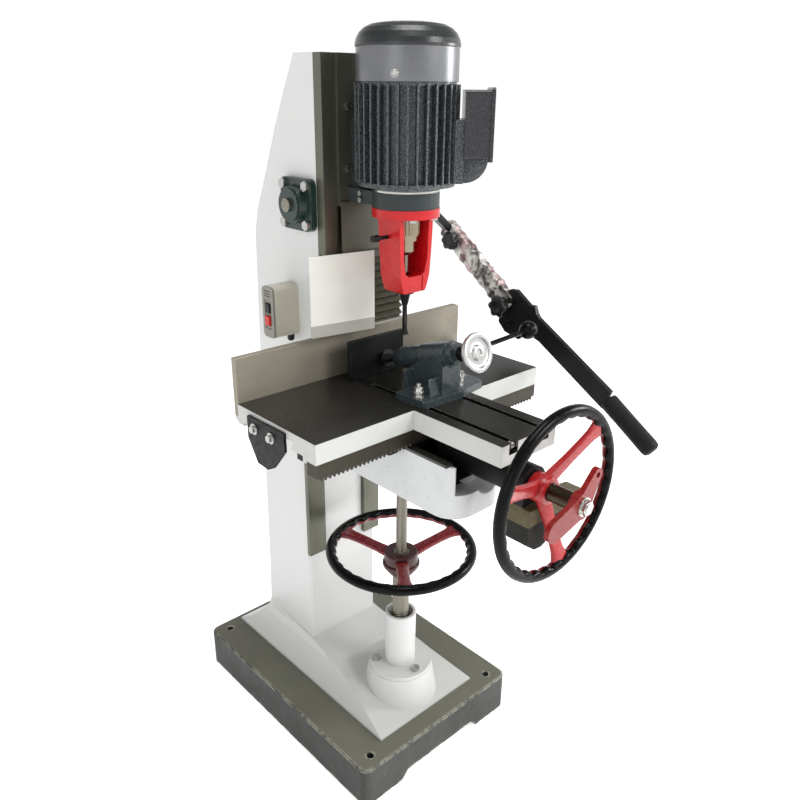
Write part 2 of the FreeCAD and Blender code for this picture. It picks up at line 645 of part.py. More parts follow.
node("hollow_chisel", solid(make_chisel()))
cl = Part.makeCylinder(17, 4.6, V(0, D["axis_y"], 1026.7)).fuse(Part.makeCylinder(2.3, 48, V(0, D["axis_y"], 1029.0), V(1, 0, 0)))
cl = cl.cut(Part.makeCylinder(13.06, 30, V(0, D["axis_y"], 1010)))
node("chisel_lock_lever", solid(max(cl.Solids, key=lambda q: q.Volume)))

# ------------------------------------------------------------- spindle
def make_rotor():
    ay = D["axis_y"]
    s = Part.makeCylinder(14, 1386 - 1170, V(0, ay, 1170))
    s = s.fuse(Part.makeCylinder(55, 110, V(0, ay, 1250)))
    s = s.fuse(Part.makeCylinder(10, 44, V(0, ay, 1386)))
    return s


node("motor_rotor", solid(make_rotor()))
fan = Part.makeCylinder(24, 26, V(0, D["axis_y"], 1400)).cut(Part.makeCylinder(10, 60, V(0, D["axis_y"], 1390)))
bl = []
for k in range(7):
    b = Part.makeBox(48, 3, 24, V(22, -1.5, 1401))
    b.rotate(V(0, 0, 0), V(0, 0, 1), 360.0 * k / 7)
    b.translate(V(0, D["axis_y"], 0))
    bl.append(b)
fan = fan.multiFuse(bl + [Part.makeCylinder(68, 2, V(0, D["axis_y"], 1399)).cut(Part.makeCylinder(10, 60, V(0, D["axis_y"], 1390)))])
node("motor_fan", solid(fan))


def make_chuck():
    ay = D["axis_y"]
    c = Part.makeCylinder(25, 36, V(0, ay, 1134))
    n = 24
    g = []
    for k in range(n):
        a = 2 * math.pi * k / n
        g.append(Part.makeCylinder(1.7, 30, V(25.2 * math.cos(a), ay + 25.2 * math.sin(a), 1137)))
    c = c.cut(Part.makeCompound(g))
    c = c.fuse(Part.makeCylinder(22, 10, V(0, ay, 1124.5)))
    c = c.fuse(Part.makeCylinder(17, 20, V(0, ay, 1105))).fuse(Part.makeCone(11.0, 17, 6, V(0, ay, 1099), V(0, 0, 1)))
    c = c.cut(Part.makeCylinder(5.5, 100, V(0, ay, 1080)))
    return c.removeSplitter()


node("drill_chuck", solid(make_chuck()))


def make_bit():
    ay = D["axis_y"]
    s = Part.makeCylinder(5.5, 1160 - 1066, V(0, ay, 1066))
    s = s.fuse(Part.makeCylinder(2.2, 1066 - 948, V(0, ay, 948)))
    s = s.fuse(Part.makeCone(0.8, 2.2, 4, V(0, ay, 944.2), V(0, 0, 1)))
    return s.removeSplitter()


node("mortise_bit", solid(make_bit()))

# ------------------------------------------------------------- lever group
def yz_plate(pts, x0, x1):
    v = [V(x0, y, z) for y, z in pts]
    v.append(v[0])
    return Part.Face(Part.makePolygon(v)).extrude(V(x1 - x0, 0, 0))


sh = cyl("shaft_r", "shaft_right-shaft_left", "shaft_left", "shaft_y", "shaft_z", "x")
node("lever_shaft", sh)
gp = gear(30, 4.0, 18)
gp.rotate(V(0, 0, 0), V(0, 1, 0), 90)      # axis along +X, a tooth towards -Z
gp.rotate(V(0, 0, 0), V(1, 0, 0), -90)
gp.translate(V(-9, D["shaft_y"], D["shaft_z"]))
gp = gp.cut(Part.makeCylinder(D["shaft_r"], 60, V(-30, D["shaft_y"], D["shaft_z"]), V(1, 0, 0)))
node("feed_gear", solid(gp))


def octagon_bar(base, ax, n, half_n, half_t, c, length):
    """Straight bar along ax from base; n is the thin direction, corners cut by c."""
    ax, n = V(ax), V(n)
    ax.normalize()
    n = n - ax * n.dot(ax)
    n.normalize()
    t = ax.cross(n)
    h, w = half_n, half_t
    pts = [(h, w - c), (h - c, w), (-h + c, w), (-h, w - c), (-h, -w + c), (-h + c, -w), (h - c, -w), (h, -w + c)]
    v = [base + n * a + t * b for a, b in pts]
    v.append(v[0])
    return Part.Face(Part.makePolygon(v)).extrude(ax * length)


LX = D["lever_x"]
HUB = V(D["hub_x"], D["shaft_y"], D["shaft_z"])
KNEE = V(LX, 37, 1083)                    # where the outward arm meets the sleeve
ALONG = V(0, -187, -137)                  # direction of the sleeve, in the lever's own plane
ALONG.normalize()


def make_lever_arm():
    hub = Part.makeCylinder(25, 24, HUB - V(12, 0, 0), V(1, 0, 0))
    run = KNEE - HUB
    arm = octagon_bar(HUB, run, V(1, 0, 0), 8, 18, 3, run.Length + 8)
    s = hub.fuse(arm)
    s = s.cut(Part.makeCylinder(D["shaft_r"], 100, V(D["shaft_right"] - 100, D["shaft_y"], D["shaft_z"]), V(1, 0, 0)))
    return s.removeSplitter()


# outline of the clamp head and bar in the lever's own plane, as (y, z)
BAR = [(-149.5, 969.9), (-160.0, 978.5), (-176.6, 979.4), (-214.2, 953.9), (-227.5, 954.5), (-234.4, 938.4), (-240.4, 931.0), (-431.5, 819.0),
       (-415.5, 779.1), (-245.2, 881.1), (-211.8, 891.2), (-190, 872), (-150.8, 881.6), (-131.9, 900.5), (-133.1, 923.7), (-145.8, 944.5)]
arm = make_lever_arm()
bar = yz_plate(BAR, LX - 5, LX + 5)
sleeve = octagon_bar(KNEE - ALONG * 10, ALONG, V(1, 0, 0), 12, 24, 7, 256)
sleeve = sleeve.multiFuse([octagon_bar(KNEE + ALONG * s0, ALONG, V(1, 0, 0), 14, 27, 7, w) for s0, w in ((28, 6), (84, 8), (112, 12), (196, 6))])
sleeve = sleeve.cut(arm).cut(bar)
node("lever_arm", solid(arm))
node("lever_sleeve", solid(max(sleeve.Solids, key=lambda q: q.Volume)))
node("lever_bar", solid(bar))
d = V(0, -536.9 + 425.0, 723.8 - 798.2)
ln = d.Length
d.normalize()
gr = Part.makeCylinder(19, ln - 8, V(LX, -425.0, 798.2), d)
gr = gr.fuse(Part.makeCone(19, 12, 8, V(LX, -425.0, 798.2) + d * (ln - 8), d))
gr = gr.cut(bar)
node("lever_grip", solid(max(gr.Solids, key=lambda q: q.Volume)))


def star_knob(x, y, z, r, lobes=6):
    """Lobed knob whose seat is at x and which stands towards -X."""
    k = Part.makeCylinder(r, 16, V(x, y, z), V(-1, 0, 0))
    cuts = []
    for j in range(lobes):
        a = 2 * math.pi * (j + 0.5) / lobes
        cuts.append(Part.makeCylinder(r * 0.36, 20, V(x + 2, y + 1.12 * r * math.cos(a), z + 1.12 * r * math.sin(a)), V(-1, 0, 0)))
    return k.cut(Part.makeCompound(cuts))


node("lever_knob_upper", solid(star_knob(LX - 14.5, 10.0, 1061.0, 21)))
node("lever_knob_lower", solid(star_knob(LX - 12.5, -141.0, 939.0, 25)))

# ------------------------------------------------------------- knee
def make_knee():
    body = box("-knee_half", "knee_half", "knee_nose", 8.2, "knee_z", "knee_top")
    body = rounded(body, 50.0, lambda e: along(e, "z") and mid(e).y < -300)
    back = box(-112, 112, 8, 19.7, 640, 790)
    o = fuse(body, back)
    trough = box("-trough_half", "trough_half", "knee_nose-10", -8, "trough_z", 900)
    # half-round relief in the nose under the feed shaft
    relief = cyl(33, 60, "feed_x", "knee_nose-10", "trough_z+18", "y")
    o = cut(o, trough, relief)
    rails = [box("trough_half", "knee_half", "knee_nose+22", -8, "knee_top-1", "rail_top"),
             box("-knee_half", "-trough_half", "knee_nose+22", -8, "knee_top-1", "rail_top")]
    o = fuse(o, *rails)
    return cut(o, cyl("screw_r+0.05", 60, 0, "boss_y", "knee_z-10"))


node("knee_casting", make_knee())
keep = lambda s: (box(102.4, 112, 19.7, 40, 640, 790), box(96.5, 103, 30.4, 40, 640, 790)) if s > 0 else (
    box(-112, -102.4, 19.7, 40, 640, 790), box(-103, -96.5, 30.4, 40, 640, 790))
node("knee_keepers", fuse(fuse(*keep(1)), fuse(*keep(-1))))
# bronze nut of the cross feed on the knee
cn = fuse(cyl(16, 112, "feed_x", -150, "feed_z", "y"), box("feed_x-24", "feed_x+24", -38, -20, "trough_z", "feed_z+20"))
node("cross_feed_nut", cut(cn, cyl("cross_r+0.05", 60, "feed_x", -160, "feed_z", "y"), cyl(11, 140, "feed_x", -125, "feed_z", "y")))

# ------------------------------------------------------------- saddle
def make_saddle():
    low = box("-saddle_half", "saddle_half", "saddle_front", "saddle_back", "rail_top+0.3", 805.7)
    keel = box("-trough_half+0.4", "trough_half-0.4", "saddle_front", "saddle_back", "trough_z+3", "rail_top+1")
    lips = [box(75.4, 95, "saddle_front", "saddle_back", 744, "rail_top+1"), box(-95, -75.4, "saddle_front", "saddle_back", 744, "rail_top+1")]
    dove = prism("yz", [(-200, 805), (-90, 805), (-80, 821.6), (-210, 821.6)], "-saddle_half", "saddle_half")
    tray = box("feed_x-34", "feed_x+34", -276, "saddle_front+1", "trough_z+3", 712)
    o = fuse(low, keel, dove, tray, *lips)
    return cut(o, cyl(18, 300, "feed_x", "saddle_front-50", "feed_z", "y"))


node("saddle", make_saddle())
hs = fuse(cyl(30, 164, "feed_x", -440, "feed_z", "y"), box("feed_x-34", "feed_x+34", -300, -276, "trough_z+3", 735))
node("feed_shaft_housing", cut(hs, cyl("feed_shaft_r+0.05", 300, "feed_x", -500, "feed_z", "y")))


def make_feed_block():
    plate = prism("xz", [(-10, 636), (-10, 694), ("feed_x-26", 704), ("feed_x+26", 704),
                         (165, 684), (152, 646), (78, 637), (32, 618), (12, 620)], -503, -455)
    neck = box("feed_x-26", "feed_x+26", -486, -440, 690, "feed_z")
    o = fuse(plate, neck, cyl(34, 46, "feed_x", -486, "feed_z", "y"))
    return cut(o, cyl("feed_shaft_r+0.05", 300, "feed_x", -600, "feed_z", "y"))


node("feed_bearing_block", make_feed_block())

# ------------------------------------------------------------- table
def make_table():
    main = box("-table_half", "table_half", "table_front", "table_back", "table_z-table_skirt", "table_z")
    ext = box("ext_left", "ext_right", "ext_front", "table_front+1", "table_z-table_skirt", "table_z")
    ledge = prism("yz", [("table_back-2", 800), ("table_back+2", 800), ("table_back+fence_t", 806), ("table_back+fence_t", 812),
                         ("table_back-2", 812)], "fence_left", "table_half")
    o = fuse(main, ext, ledge)
    # dovetail and bed for the saddle
    groove = prism("yz", [(-200.5, 805), (-89.5, 805), (-79.26, 822), (-210.74, 822)], "-table_half-5", "table_half+5")
    clear = box("-table_half-5", "table_half+5", -238.5, -53.5, 790, 806)
    slots = []
    for c in ("slot_left", "slot_right"):
        slots.append(box(c + "-slot_w/2", c + "+slot_w/2", "ext_front-5", -120, "table_z-10", "table_z+1"))
        slots.append(box(c + "-10", c + "+10", "ext_front-5", "table_front+14", "table_z-20", "table_z-9.9"))
    return cut(o, groove, clear, *slots)


node("table_casting", make_table())
fn = box("fence_left", "fence_right", "table_back", "table_back+fence_t", 812, "fence_top")
fn = rounded(fn, 9.0, lambda e: along(e, "y") and mid(e).z > D["fence_top"] - 1 and mid(e).x > 0)
fn = bevel(fn, 1.0, lambda e: along(e, "x") and mid(e).z > D["fence_top"] - 1)
node("fence", fn)
# rack under the table's front edge; a gap faces the feed gear at rest
rl = 2 * 288.0
ph = D["feed_x"] + 288.0 + math.pi * 3.0 / 2
rp = rack_profile(rl, 3.0, D["table_z"] - D["table_skirt"] - (D["feed_z"] + D["feed_pinion_r"]), phase=ph)
zp = D["feed_z"] + D["feed_pinion_r"]
vs = [V(-288.0 + u, D["table_front"] + D["rack_d"], zp - v) for u, v in rp]
vs.append(vs[0])
node("table_rack", solid(Part.Face(Part.makePolygon(vs)).extrude(V(0, -D["rack_d"], 0))))


def end_plate(x0, x1):
    p = [(-74, 830), (-188, 832), (-189, 797), (-151, 752), (-134, 743), (-102, 745), (-74, 788)]
    return yz_plate(p, x0, x1)


node("table_end_plates", solid(Part.makeCompound([end_plate(-296, -290), end_plate(290, 296)])))
eb = []
for s in (-1, 1):
    for y in (-97, -150):
        w = Part.makeCylinder(10.5, 2, V(s * 296, y, 811), V(s, 0, 0))
        eb.append(w.fuse(screw_head(7, 6, s * 298, y, 811, (s, 0, 0))))
# ------------------------------------------------------------- feed wheel
def spoke(r0, r1, w0, w1, t, dz0, dz1, ang):
    """Flat strap from the hub at r0 to the rim at r1, dropping from dz0 to dz1."""
    a = [V(r0, -w0 / 2, dz0 - t / 2), V(r0, w0 / 2, dz0 - t / 2), V(r0, w0 / 2, dz0 + t / 2), V(r0, -w0 / 2, dz0 + t / 2)]
    b = [V(r1, -w1 / 2, dz1 - t / 2), V(r1, w1 / 2, dz1 - t / 2), V(r1, w1 / 2, dz1 + t / 2), V(r1, -w1 / 2, dz1 + t / 2)]
    a.append(a[0])
    b.append(b[0])
    s = Part.makeLoft([Part.makePolygon(a), Part.makePolygon(b)], True)
    s.rotate(V(0, 0, 0), V(0, 0, 1), ang)
    return s


def make_rim(rim_r, tube_r):
    rim = Part.makeTorus(rim_r, tube_r)
    n = 30
    cuts = []
    for k in range(n):
        a = 2 * math.pi * (k + 0.5) / n
        rr = rim_r - tube_r - 3.5
        cuts.append(Part.makeCylinder(9.0, 4 * tube_r, V(rr * math.cos(a), rr * math.sin(a), -2 * tube_r)))
    return rim.cut(Part.makeCompound(cuts))


def make_wheel(hub_r, hub_z0, hub_z1, bore, dish, rim_r, tube_r, angs, extra=()):
    parts = []
    hub = Part.makeCylinder(hub_r, hub_z1 - hub_z0, V(0, 0, hub_z0))
    for a in angs:
        parts.append(spoke(hub_r - 4, rim_r - 2, 33, 28, 8, dish, 0, a))
    s = hub.multiFuse(parts + list(extra))
    s = s.cut(Part.makeCylinder(bore, 400, V(0, 0, -200)))
    s = s.fuse(make_rim(rim_r, tube_r))
    return s.Solids[0]


def posed(s, base, rot=None):
    s = s.copy()
    s.Placement = FreeCAD.Placement(V(*base), rot or FreeCAD.Rotation())
    return s


# lift wheel, lying flat under the knee
col = Part.makeCone(26, 40, 20, V(0, 0, -58), V(0, 0, 1)).fuse(Part.makeCylinder(40, 8, V(0, 0, -38)))
lc = make_wheel(36, -40, -4, D["sleeve_r"], -20, D["wheel_rim"], D["wheel_tube"], (110, 230, 350), [col])
node("lift_handwheel", solid(posed(lc, (0, D["boss_y"], D["wheel_z"]))))
sl = fuse(cyl("sleeve_r", "wheel_z-4-sleeve_z", 0, "boss_y", "sleeve_z"), cyl("screw_r", "686-wheel_z+4", 0, "boss_y", "wheel_z-4"))
node("lift_screw", sl)

# big feed wheel facing the operator
face = FreeCAD.Rotation(V(1, 0, 0), 90)     # wheel's +Z towards the operator (-Y)
fc = make_wheel(26, -49, -13, D["feed_shaft_r"], -31, D["wheel_rim"], D["wheel_tube"], (41, 161, 281))
node("feed_handwheel", solid(posed(fc, (D["feed_x"], D["feed_wheel_y"], D["feed_z"]), face)))
fg = gear(18, 3.0, 20)
fg.rotate(V(0, 0, 0), V(1, 0, 0), -90)      # axis along +Y
fg.rotate(V(0, 0, 0), V(0, 1, 0), -90)      # a tooth towards +Z
fg.translate(V(D["feed_x"], -268, D["feed_z"]))
fg = fg.fuse(Part.makeCylinder(D["feed_shaft_r"], 572 - 244, V(D["feed_x"], -572, D["feed_z"]), V(0, 1, 0)))
fg = fg.cut(Part.makeCylinder(D["cross_r"] + 0.05, 600, V(D["feed_x"], -600, D["feed_z"]), V(0, 1, 0)))
node("feed_pinion_shaft", solid(fg.removeSplitter()))

# cross-feed crank in front of the wheel, on the inner shaft
def make_crank():
    y0, y1 = -590.0, -574.0
    arms = []
    for ang, ln2, r in ((54.0, 58.0, 12.0), (196.0, 74.0, 20.0)):
        a = math.radians(ang)
        u = V(math.cos(a), 0, math.sin(a))
        n = V(-math.sin(a), 0, math.cos(a))
        c = V(D["feed_x"], y0, D["feed_z"])
        e = c + u * ln2
        p = [c + n * 22, e + n * r, e - n * r, c - n * 22, c + n * 22]
        arms.append(Part.Face(Part.makePolygon(p)).extrude(V(0, 10, 0)))
        arms.append(Part.makeCylinder(r, 10, e, V(0, 1, 0)))
    boss = Part.makeCylinder(25, y1 - y0, V(D["feed_x"], y0, D["feed_z"]), V(0, 1, 0))
    s = boss.multiFuse(arms)
    a = math.radians(54.0)
    e = V(D["feed_x"] + 58 * math.cos(a), y0 - 5, D["feed_z"] + 58 * math.sin(a))
    s = s.cut(Part.makeCylinder(5, 30, e, V(0, 1, 0)))
    s = s.cut(Part.makeCylinder(D["cross_r"], 60, V(D["feed_x"], -620, D["feed_z"]), V(0, 1, 0)))
    return s.removeSplitter()


node("cross_crank", solid(make_crank()))
cw = Part.makeCylinder(17, 3, V(D["feed_x"], -593, D["feed_z"]), V(0, 1, 0))
cx = Part.makeCylinder(D["cross_r"], 602 - 22, V(D["feed_x"], -602, D["feed_z"]), V(0, 1, 0))
cw = cw.multiFuse([screw_head(14, 7.5, D["feed_x"], -593, D["feed_z"], (0, -1, 0)), cx])
node("cross_screw", solid(cw.removeSplitter()))

# ------------------------------------------------------------- vise
TILT = math.radians(D["vise_tilt"])
AX = V(0, -math.cos(TILT), math.sin(TILT))          # towards the handwheel
P0 = V(D["vise_x"], -123, 880)                      # a point on the screw's axis
UP = V(0, math.sin(TILT), math.cos(TILT))


def at(s):
    return P0 + AX * s


def tube(r, s0, s1):
    return Part.makeCylinder(r, s1 - s0, at(s0), AX)


def make_vise_body():
    pts = [(-52, -206), (-50, -276), (-44, -282), (48, -286), (112, -275), (118, -262), (118, -206)]
    base = Part.Face(Part.makePolygon([V(x, y, 838) for x, y in pts + pts[:1]])).extrude(V(0, 0, 14))
    stem = yz_plate([(-190, 851), (-185, 884), (-250, 925), (-272, 905), (-272, 851)], D["vise_x"] - 28, D["vise_x"] + 20)
    cone_s = Part.makeCone(15, 22, 20, at(-2), AX)
    barrel = tube(22, 18, 74).fuse(Part.makeCone(22, 25, 6, at(74), AX)).fuse(tube(25, 80, 150))
    nose = tube(21, 150, 166)
    ribs = [yz_plate([(-196, 851), (-196, 884), (-210, 851)], D["vise_x"] - 54, D["vise_x"] + 20),
            yz_plate([(-268, 851), (-262, 884), (-254, 851)], D["vise_x"] - 54, D["vise_x"] + 20)]
    s = base.multiFuse([stem, cone_s, barrel, nose] + ribs)
    s = s.cut(tube(D["ram_r"] + 0.05, -10, 148)).cut(tube(5.5, 100, 200))
    return s.removeSplitter()


node("vise_body", solid(make_vise_body()))
for x, y in ((-38, -252), (63, -258), (104, -226)):
    w = Part.makeCylinder(10.5, 2, V(x, y, 852))
    eb.append(w.fuse(screw_head(7, 6.5, x, y, 854, (0, 0, 1))))
node("table_bolts", solid(Part.makeCompound(eb)))
ram = tube(D["ram_r"], -34, 96)
ram = ram.cut(tube(5.3, -6, 100))
node("vise_ram", solid(ram.removeSplitter()))
jaw = Part.makeBox(D["jaw_right"] - D["jaw_left"], 8, D["jaw_top"] - 839.5, V(D["jaw_left"], D["jaw_y"] - 8, 839.5))
jb = tube(17, -38, -32)
jaw = jaw.fuse(jb.common(Part.makeBox(200, 60, 200, V(-80, D["jaw_y"] - 60, 800))))
jaw = jaw.cut(tube(D["ram_r"], -34.2, 10))
jaw = jaw.removeSplitter()
node("vise_jaw", solid(max(jaw.Solids, key=lambda q: q.Volume)))


def make_vise_wheel():
    s0 = 210.0
    disc = tube(37, s0, s0 + 10)
    disc = disc.cut(tube(27, s0 + 5, s0 + 20))
    hub = tube(13, s0 - 7, s0 + 11)
    s = disc.multiFuse([hub, tube(5, 42, 214)])
    return s.removeSplitter()


node("vise_handwheel", solid(make_vise_wheel()))


def make_ball_lever():
    c = at(182)
    e = V(202, -300, 941)
    d2 = e - c
    ring = tube(15, 175, 189).cut(tube(5.3, 150, 260))
    d2n = V(d2.x, d2.y, d2.z)
    d2n.normalize()
    rod = Part.makeCylinder(4.5, d2.Length, c, d2n).cut(tube(12, 150, 260))
    s = ring.fuse(rod).fuse(Part.makeSphere(18, V(213, -300.5, 941)))
    return s.removeSplitter()


node("vise_ball_lever", solid(make_ball_lever()))

# ------------------------------------------------------------- write
doc.recompute()
bad = [(o.Name, o.State) for o in doc.Objects if any(t in ("Invalid", "Error") for t in o.State)]
if bad:
    raise SystemExit("features with errors: %s" % bad)
os.makedirs("parts", exist_ok=True)
seen = set()
for label, o in NODES:
    s = o.Shape
    if s.isNull() or not s.isValid():
        raise SystemExit("bad shape: " + label)
    if label in seen or o.Label != label:
        raise SystemExit("label: " + label)
    seen.add(label)
    s.exportStep("parts/%s.step" % label)
print("nodes", len(NODES))
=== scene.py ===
import bpy
import bmesh
import math
import random
from mathutils import Vector, Matrix, Quaternion

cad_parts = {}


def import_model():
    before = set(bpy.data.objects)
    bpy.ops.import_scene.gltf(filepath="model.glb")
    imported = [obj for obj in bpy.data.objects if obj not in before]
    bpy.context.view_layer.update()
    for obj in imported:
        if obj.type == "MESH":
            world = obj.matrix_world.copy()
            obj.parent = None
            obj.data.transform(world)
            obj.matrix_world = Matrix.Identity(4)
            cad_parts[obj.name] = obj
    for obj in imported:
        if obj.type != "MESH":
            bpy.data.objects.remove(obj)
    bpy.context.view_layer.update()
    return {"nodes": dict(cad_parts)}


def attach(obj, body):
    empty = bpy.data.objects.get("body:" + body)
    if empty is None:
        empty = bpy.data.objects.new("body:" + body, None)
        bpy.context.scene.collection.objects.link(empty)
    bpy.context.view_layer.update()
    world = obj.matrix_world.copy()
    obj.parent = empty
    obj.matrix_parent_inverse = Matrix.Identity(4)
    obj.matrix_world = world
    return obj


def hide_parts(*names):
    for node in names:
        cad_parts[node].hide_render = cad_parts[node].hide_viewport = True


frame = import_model()
NODES = frame["nodes"]
MM = 0.001


# ------------------------------------------------------------------ node helpers
class Mat:
    """A material with short calls for its nodes."""

    def __init__(self, name):
        self.m = bpy.data.materials.new(name)
        self.m.use_nodes = True
        self.t = self.m.node_tree
        self.b = self.t.nodes["Principled BSDF"]
        self.co = self.t.nodes.new("ShaderNodeTexCoord")

    def node(self, kind, **props):
        n = self.t.nodes.new(kind)
        for k, v in props.items():
            setattr(n, k, v)
        return n

    def link(self, a, b):
        self.t.links.new(a, b)

    def mapped(self, scale=(1, 1, 1), rot=(0, 0, 0), loc=(0, 0, 0)):
        n = self.node("ShaderNodeMapping")
        n.inputs["Scale"].default_value = scale
        n.inputs["Rotation"].default_value = rot
        n.inputs["Location"].default_value = loc
        self.link(self.co.outputs["Object"], n.inputs["Vector"])
        return n.outputs["Vector"]

    def noise(self, scale, detail=3.0, rough=0.5, vec=None, distortion=0.0):
        n = self.node("ShaderNodeTexNoise")
        n.inputs["Scale"].default_value = scale
        n.inputs["Detail"].default_value = detail
        n.inputs["Roughness"].default_value = rough
        n.inputs["Distortion"].default_value = distortion
        self.link(vec if vec is not None else self.co.outputs["Object"], n.inputs["Vector"])
        return n.outputs["Fac"]

    def voronoi(self, scale, vec=None, feature="F1"):
        n = self.node("ShaderNodeTexVoronoi", feature=feature)
        n.inputs["Scale"].default_value = scale
        self.link(vec if vec is not None else self.co.outputs["Object"], n.inputs["Vector"])
        return n.outputs["Distance"]

    def ramp(self, fac, stops, smooth=False):
        n = self.node("ShaderNodeValToRGB")
        cr = n.color_ramp
        while len(cr.elements) > 1:
            cr.elements.remove(cr.elements[-1])
        cr.elements[0].position = stops[0][0]
        cr.elements[0].color = tuple(stops[0][1]) + (1,) if len(stops[0][1]) == 3 else stops[0][1]
        for p, c in stops[1:]:
            e = cr.elements.new(p)
            e.color = tuple(c) + (1,) if len(c) == 3 else c
        if smooth:
            cr.interpolation = "EASE"
        self.link(fac, n.inputs["Fac"])
        return n.outputs["Color"]

    def mapr(self, v, a, b, c, d, clamp=True):
        n = self.node("ShaderNodeMapRange", clamp=clamp)
        for k, x in zip(("From Min", "From Max", "To Min", "To Max"), (a, b, c, d)):
            n.inputs[k].default_value = x
        self.link(v, n.inputs["Value"])
        return n.outputs["Result"]

    def math(self, op, a, b=None, clamp=False):
        n = self.node("ShaderNodeMath", operation=op, use_clamp=clamp)
        for i, v in enumerate((a, b)):
            if v is None:
                continue
            if isinstance(v, (int, float)):
                n.inputs[i].default_value = v
            else:
                self.link(v, n.inputs[i])
        return n.outputs["Value"]

    def mix(self, fac, a, b, blend="MIX"):
        n = self.node("ShaderNodeMix", data_type="RGBA", blend_type=blend)
        if isinstance(fac, (int, float)):
            n.inputs[0].default_value = fac
        else:
            self.link(fac, n.inputs[0])
        for i, v in ((6, a), (7, b)):
            if isinstance(v, (tuple, list)):
                n.inputs[i].default_value = tuple(v) + (1,) if len(v) == 3 else v
            else:
                self.link(v, n.inputs[i])
        return n.outputs[2]

    def bump(self, h, strength=0.2, dist=0.001, normal=None):
        n = self.node("ShaderNodeBump")
        n.inputs["Strength"].default_value = strength
        n.inputs["Distance"].default_value = dist
        self.link(h, n.inputs["Height"])
        if normal is not None:
            self.link(normal, n.inputs["Normal"])
        return n.outputs["Normal"]

    def soft_edges(self, radius=0.0012):
        n = self.node("ShaderNodeBevel", samples=4)
        n.inputs["Radius"].default_value = radius
        return n.outputs["Normal"]

    def edge_mask(self, radius=0.004, gain=3.0):
        """1 on sharp edges, 0 on flats: how far the rounded normal leaves the true one."""
        bv = self.node("ShaderNodeBevel", samples=6)
        bv.inputs["Radius"].default_value = radius
        g = self.node("ShaderNodeNewGeometry")
        d = self.node("ShaderNodeVectorMath", operation="DOT_PRODUCT")
        self.link(bv.outputs["Normal"], d.inputs[0])
        self.link(g.outputs["Normal"], d.inputs[1])
        return self.math("MULTIPLY", self.math("SUBTRACT", 1.0, d.outputs["Value"]), gain, clamp=True)

    def xyz(self):
        n = self.node("ShaderNodeSeparateXYZ")
        self.link(self.co.outputs["Object"], n.inputs[0])
        return n.outputs

    def nrm(self):
        g = self.node("ShaderNodeNewGeometry")
        n = self.node("ShaderNodeSeparateXYZ")
        self.link(g.outputs["Normal"], n.inputs[0])
        return n.outputs

    def set(self, **kw):
        names = {"color": "Base Color", "rough": "Roughness", "metal": "Metallic", "normal": "Normal", "coat": "Coat Weight",
                 "coat_rough": "Coat Roughness", "spec": "Specular IOR Level", "aniso": "Anisotropic"}
        for k, v in kw.items():
            s = self.b.inputs[names[k]]
            if isinstance(v, (int, float)):
                s.default_value = v
            elif isinstance(v, (tuple, list)):
                s.default_value = tuple(v) + (1,) if len(v) == 3 else v
            else:
                self.link(v, s)
        return self


def srgb(r, g, b):
    """Colour given as 0-255 display values."""
    def f(c):
        c /= 255.0
        return c / 12.92 if c <= 0.04045 else ((c + 0.055) / 1.055) ** 2.4
    return (f(r), f(g), f(b))


# ------------------------------------------------------------------ materials
def enamel(name, col, dirt=(150, 146, 136), rough=0.28, orange=0.05, soft=0.0015, dirt_amt=0.12, grain=260, chips=0.0):
    m = Mat(name)
    big = m.noise(7, 4, 0.6)
    fine = m.noise(grain, 2, 0.5)
    smudge = m.mapr(m.noise(22, 5, 0.65), 0.55, 0.8, 0, dirt_amt)
    c = m.mix(smudge, col, srgb(*dirt))
    c = m.mix(m.mapr(big, 0.3, 0.7, 0.0, 0.05), c, tuple(v * 0.8 for v in col))
    # a little grime low on the casting
    low = m.mapr(m.math("ADD", m.xyz()[2], m.math("MULTIPLY", m.noise(9, 3), 0.08)), 0.12, 0.26, 0.22, 0)
    c = m.mix(low, c, srgb(168, 164, 152))
    if chips:
        e = m.math("MULTIPLY", m.edge_mask(0.003, 5.0), m.mapr(m.noise(120, 4, 0.7), 0.52, 0.6, 0, chips), clamp=True)
        c = m.mix(e, c, srgb(96, 92, 82))
    m.set(color=c, rough=m.mapr(m.noise(40, 3), 0.3, 0.7, rough, rough + 0.06))
    n = m.bump(m.math("ADD", m.math("MULTIPLY", fine, 0.5), m.noise(60, 2)), orange, 0.001, m.soft_edges(soft))
    m.set(normal=n, coat=0.15)
    m.b.inputs["Coat Roughness"].default_value = 0.18
    return m.m


def steel(name, col, rough=0.3, streak=(4, 4, 300), bumps=0.08, metal=1.0, dark=0.6, soft=0.0008, blotch=0.4):
    m = Mat(name)
    st = m.noise(3, 6, 0.7, m.mapped(streak))
    blot = m.noise(18, 4, 0.6)
    c = m.mix(m.mapr(st, 0.3, 0.7, 0, 0.5), col, tuple(v * dark for v in col))
    c = m.mix(m.mapr(blot, 0.5, 0.75, 0, blotch), c, tuple(v * dark * 0.8 for v in col))
    m.set(color=c, metal=metal, rough=m.mapr(st, 0.3, 0.7, rough - 0.07, rough + 0.12),
          normal=m.bump(st, bumps, 0.0005, m.soft_edges(soft)))
    return m.m


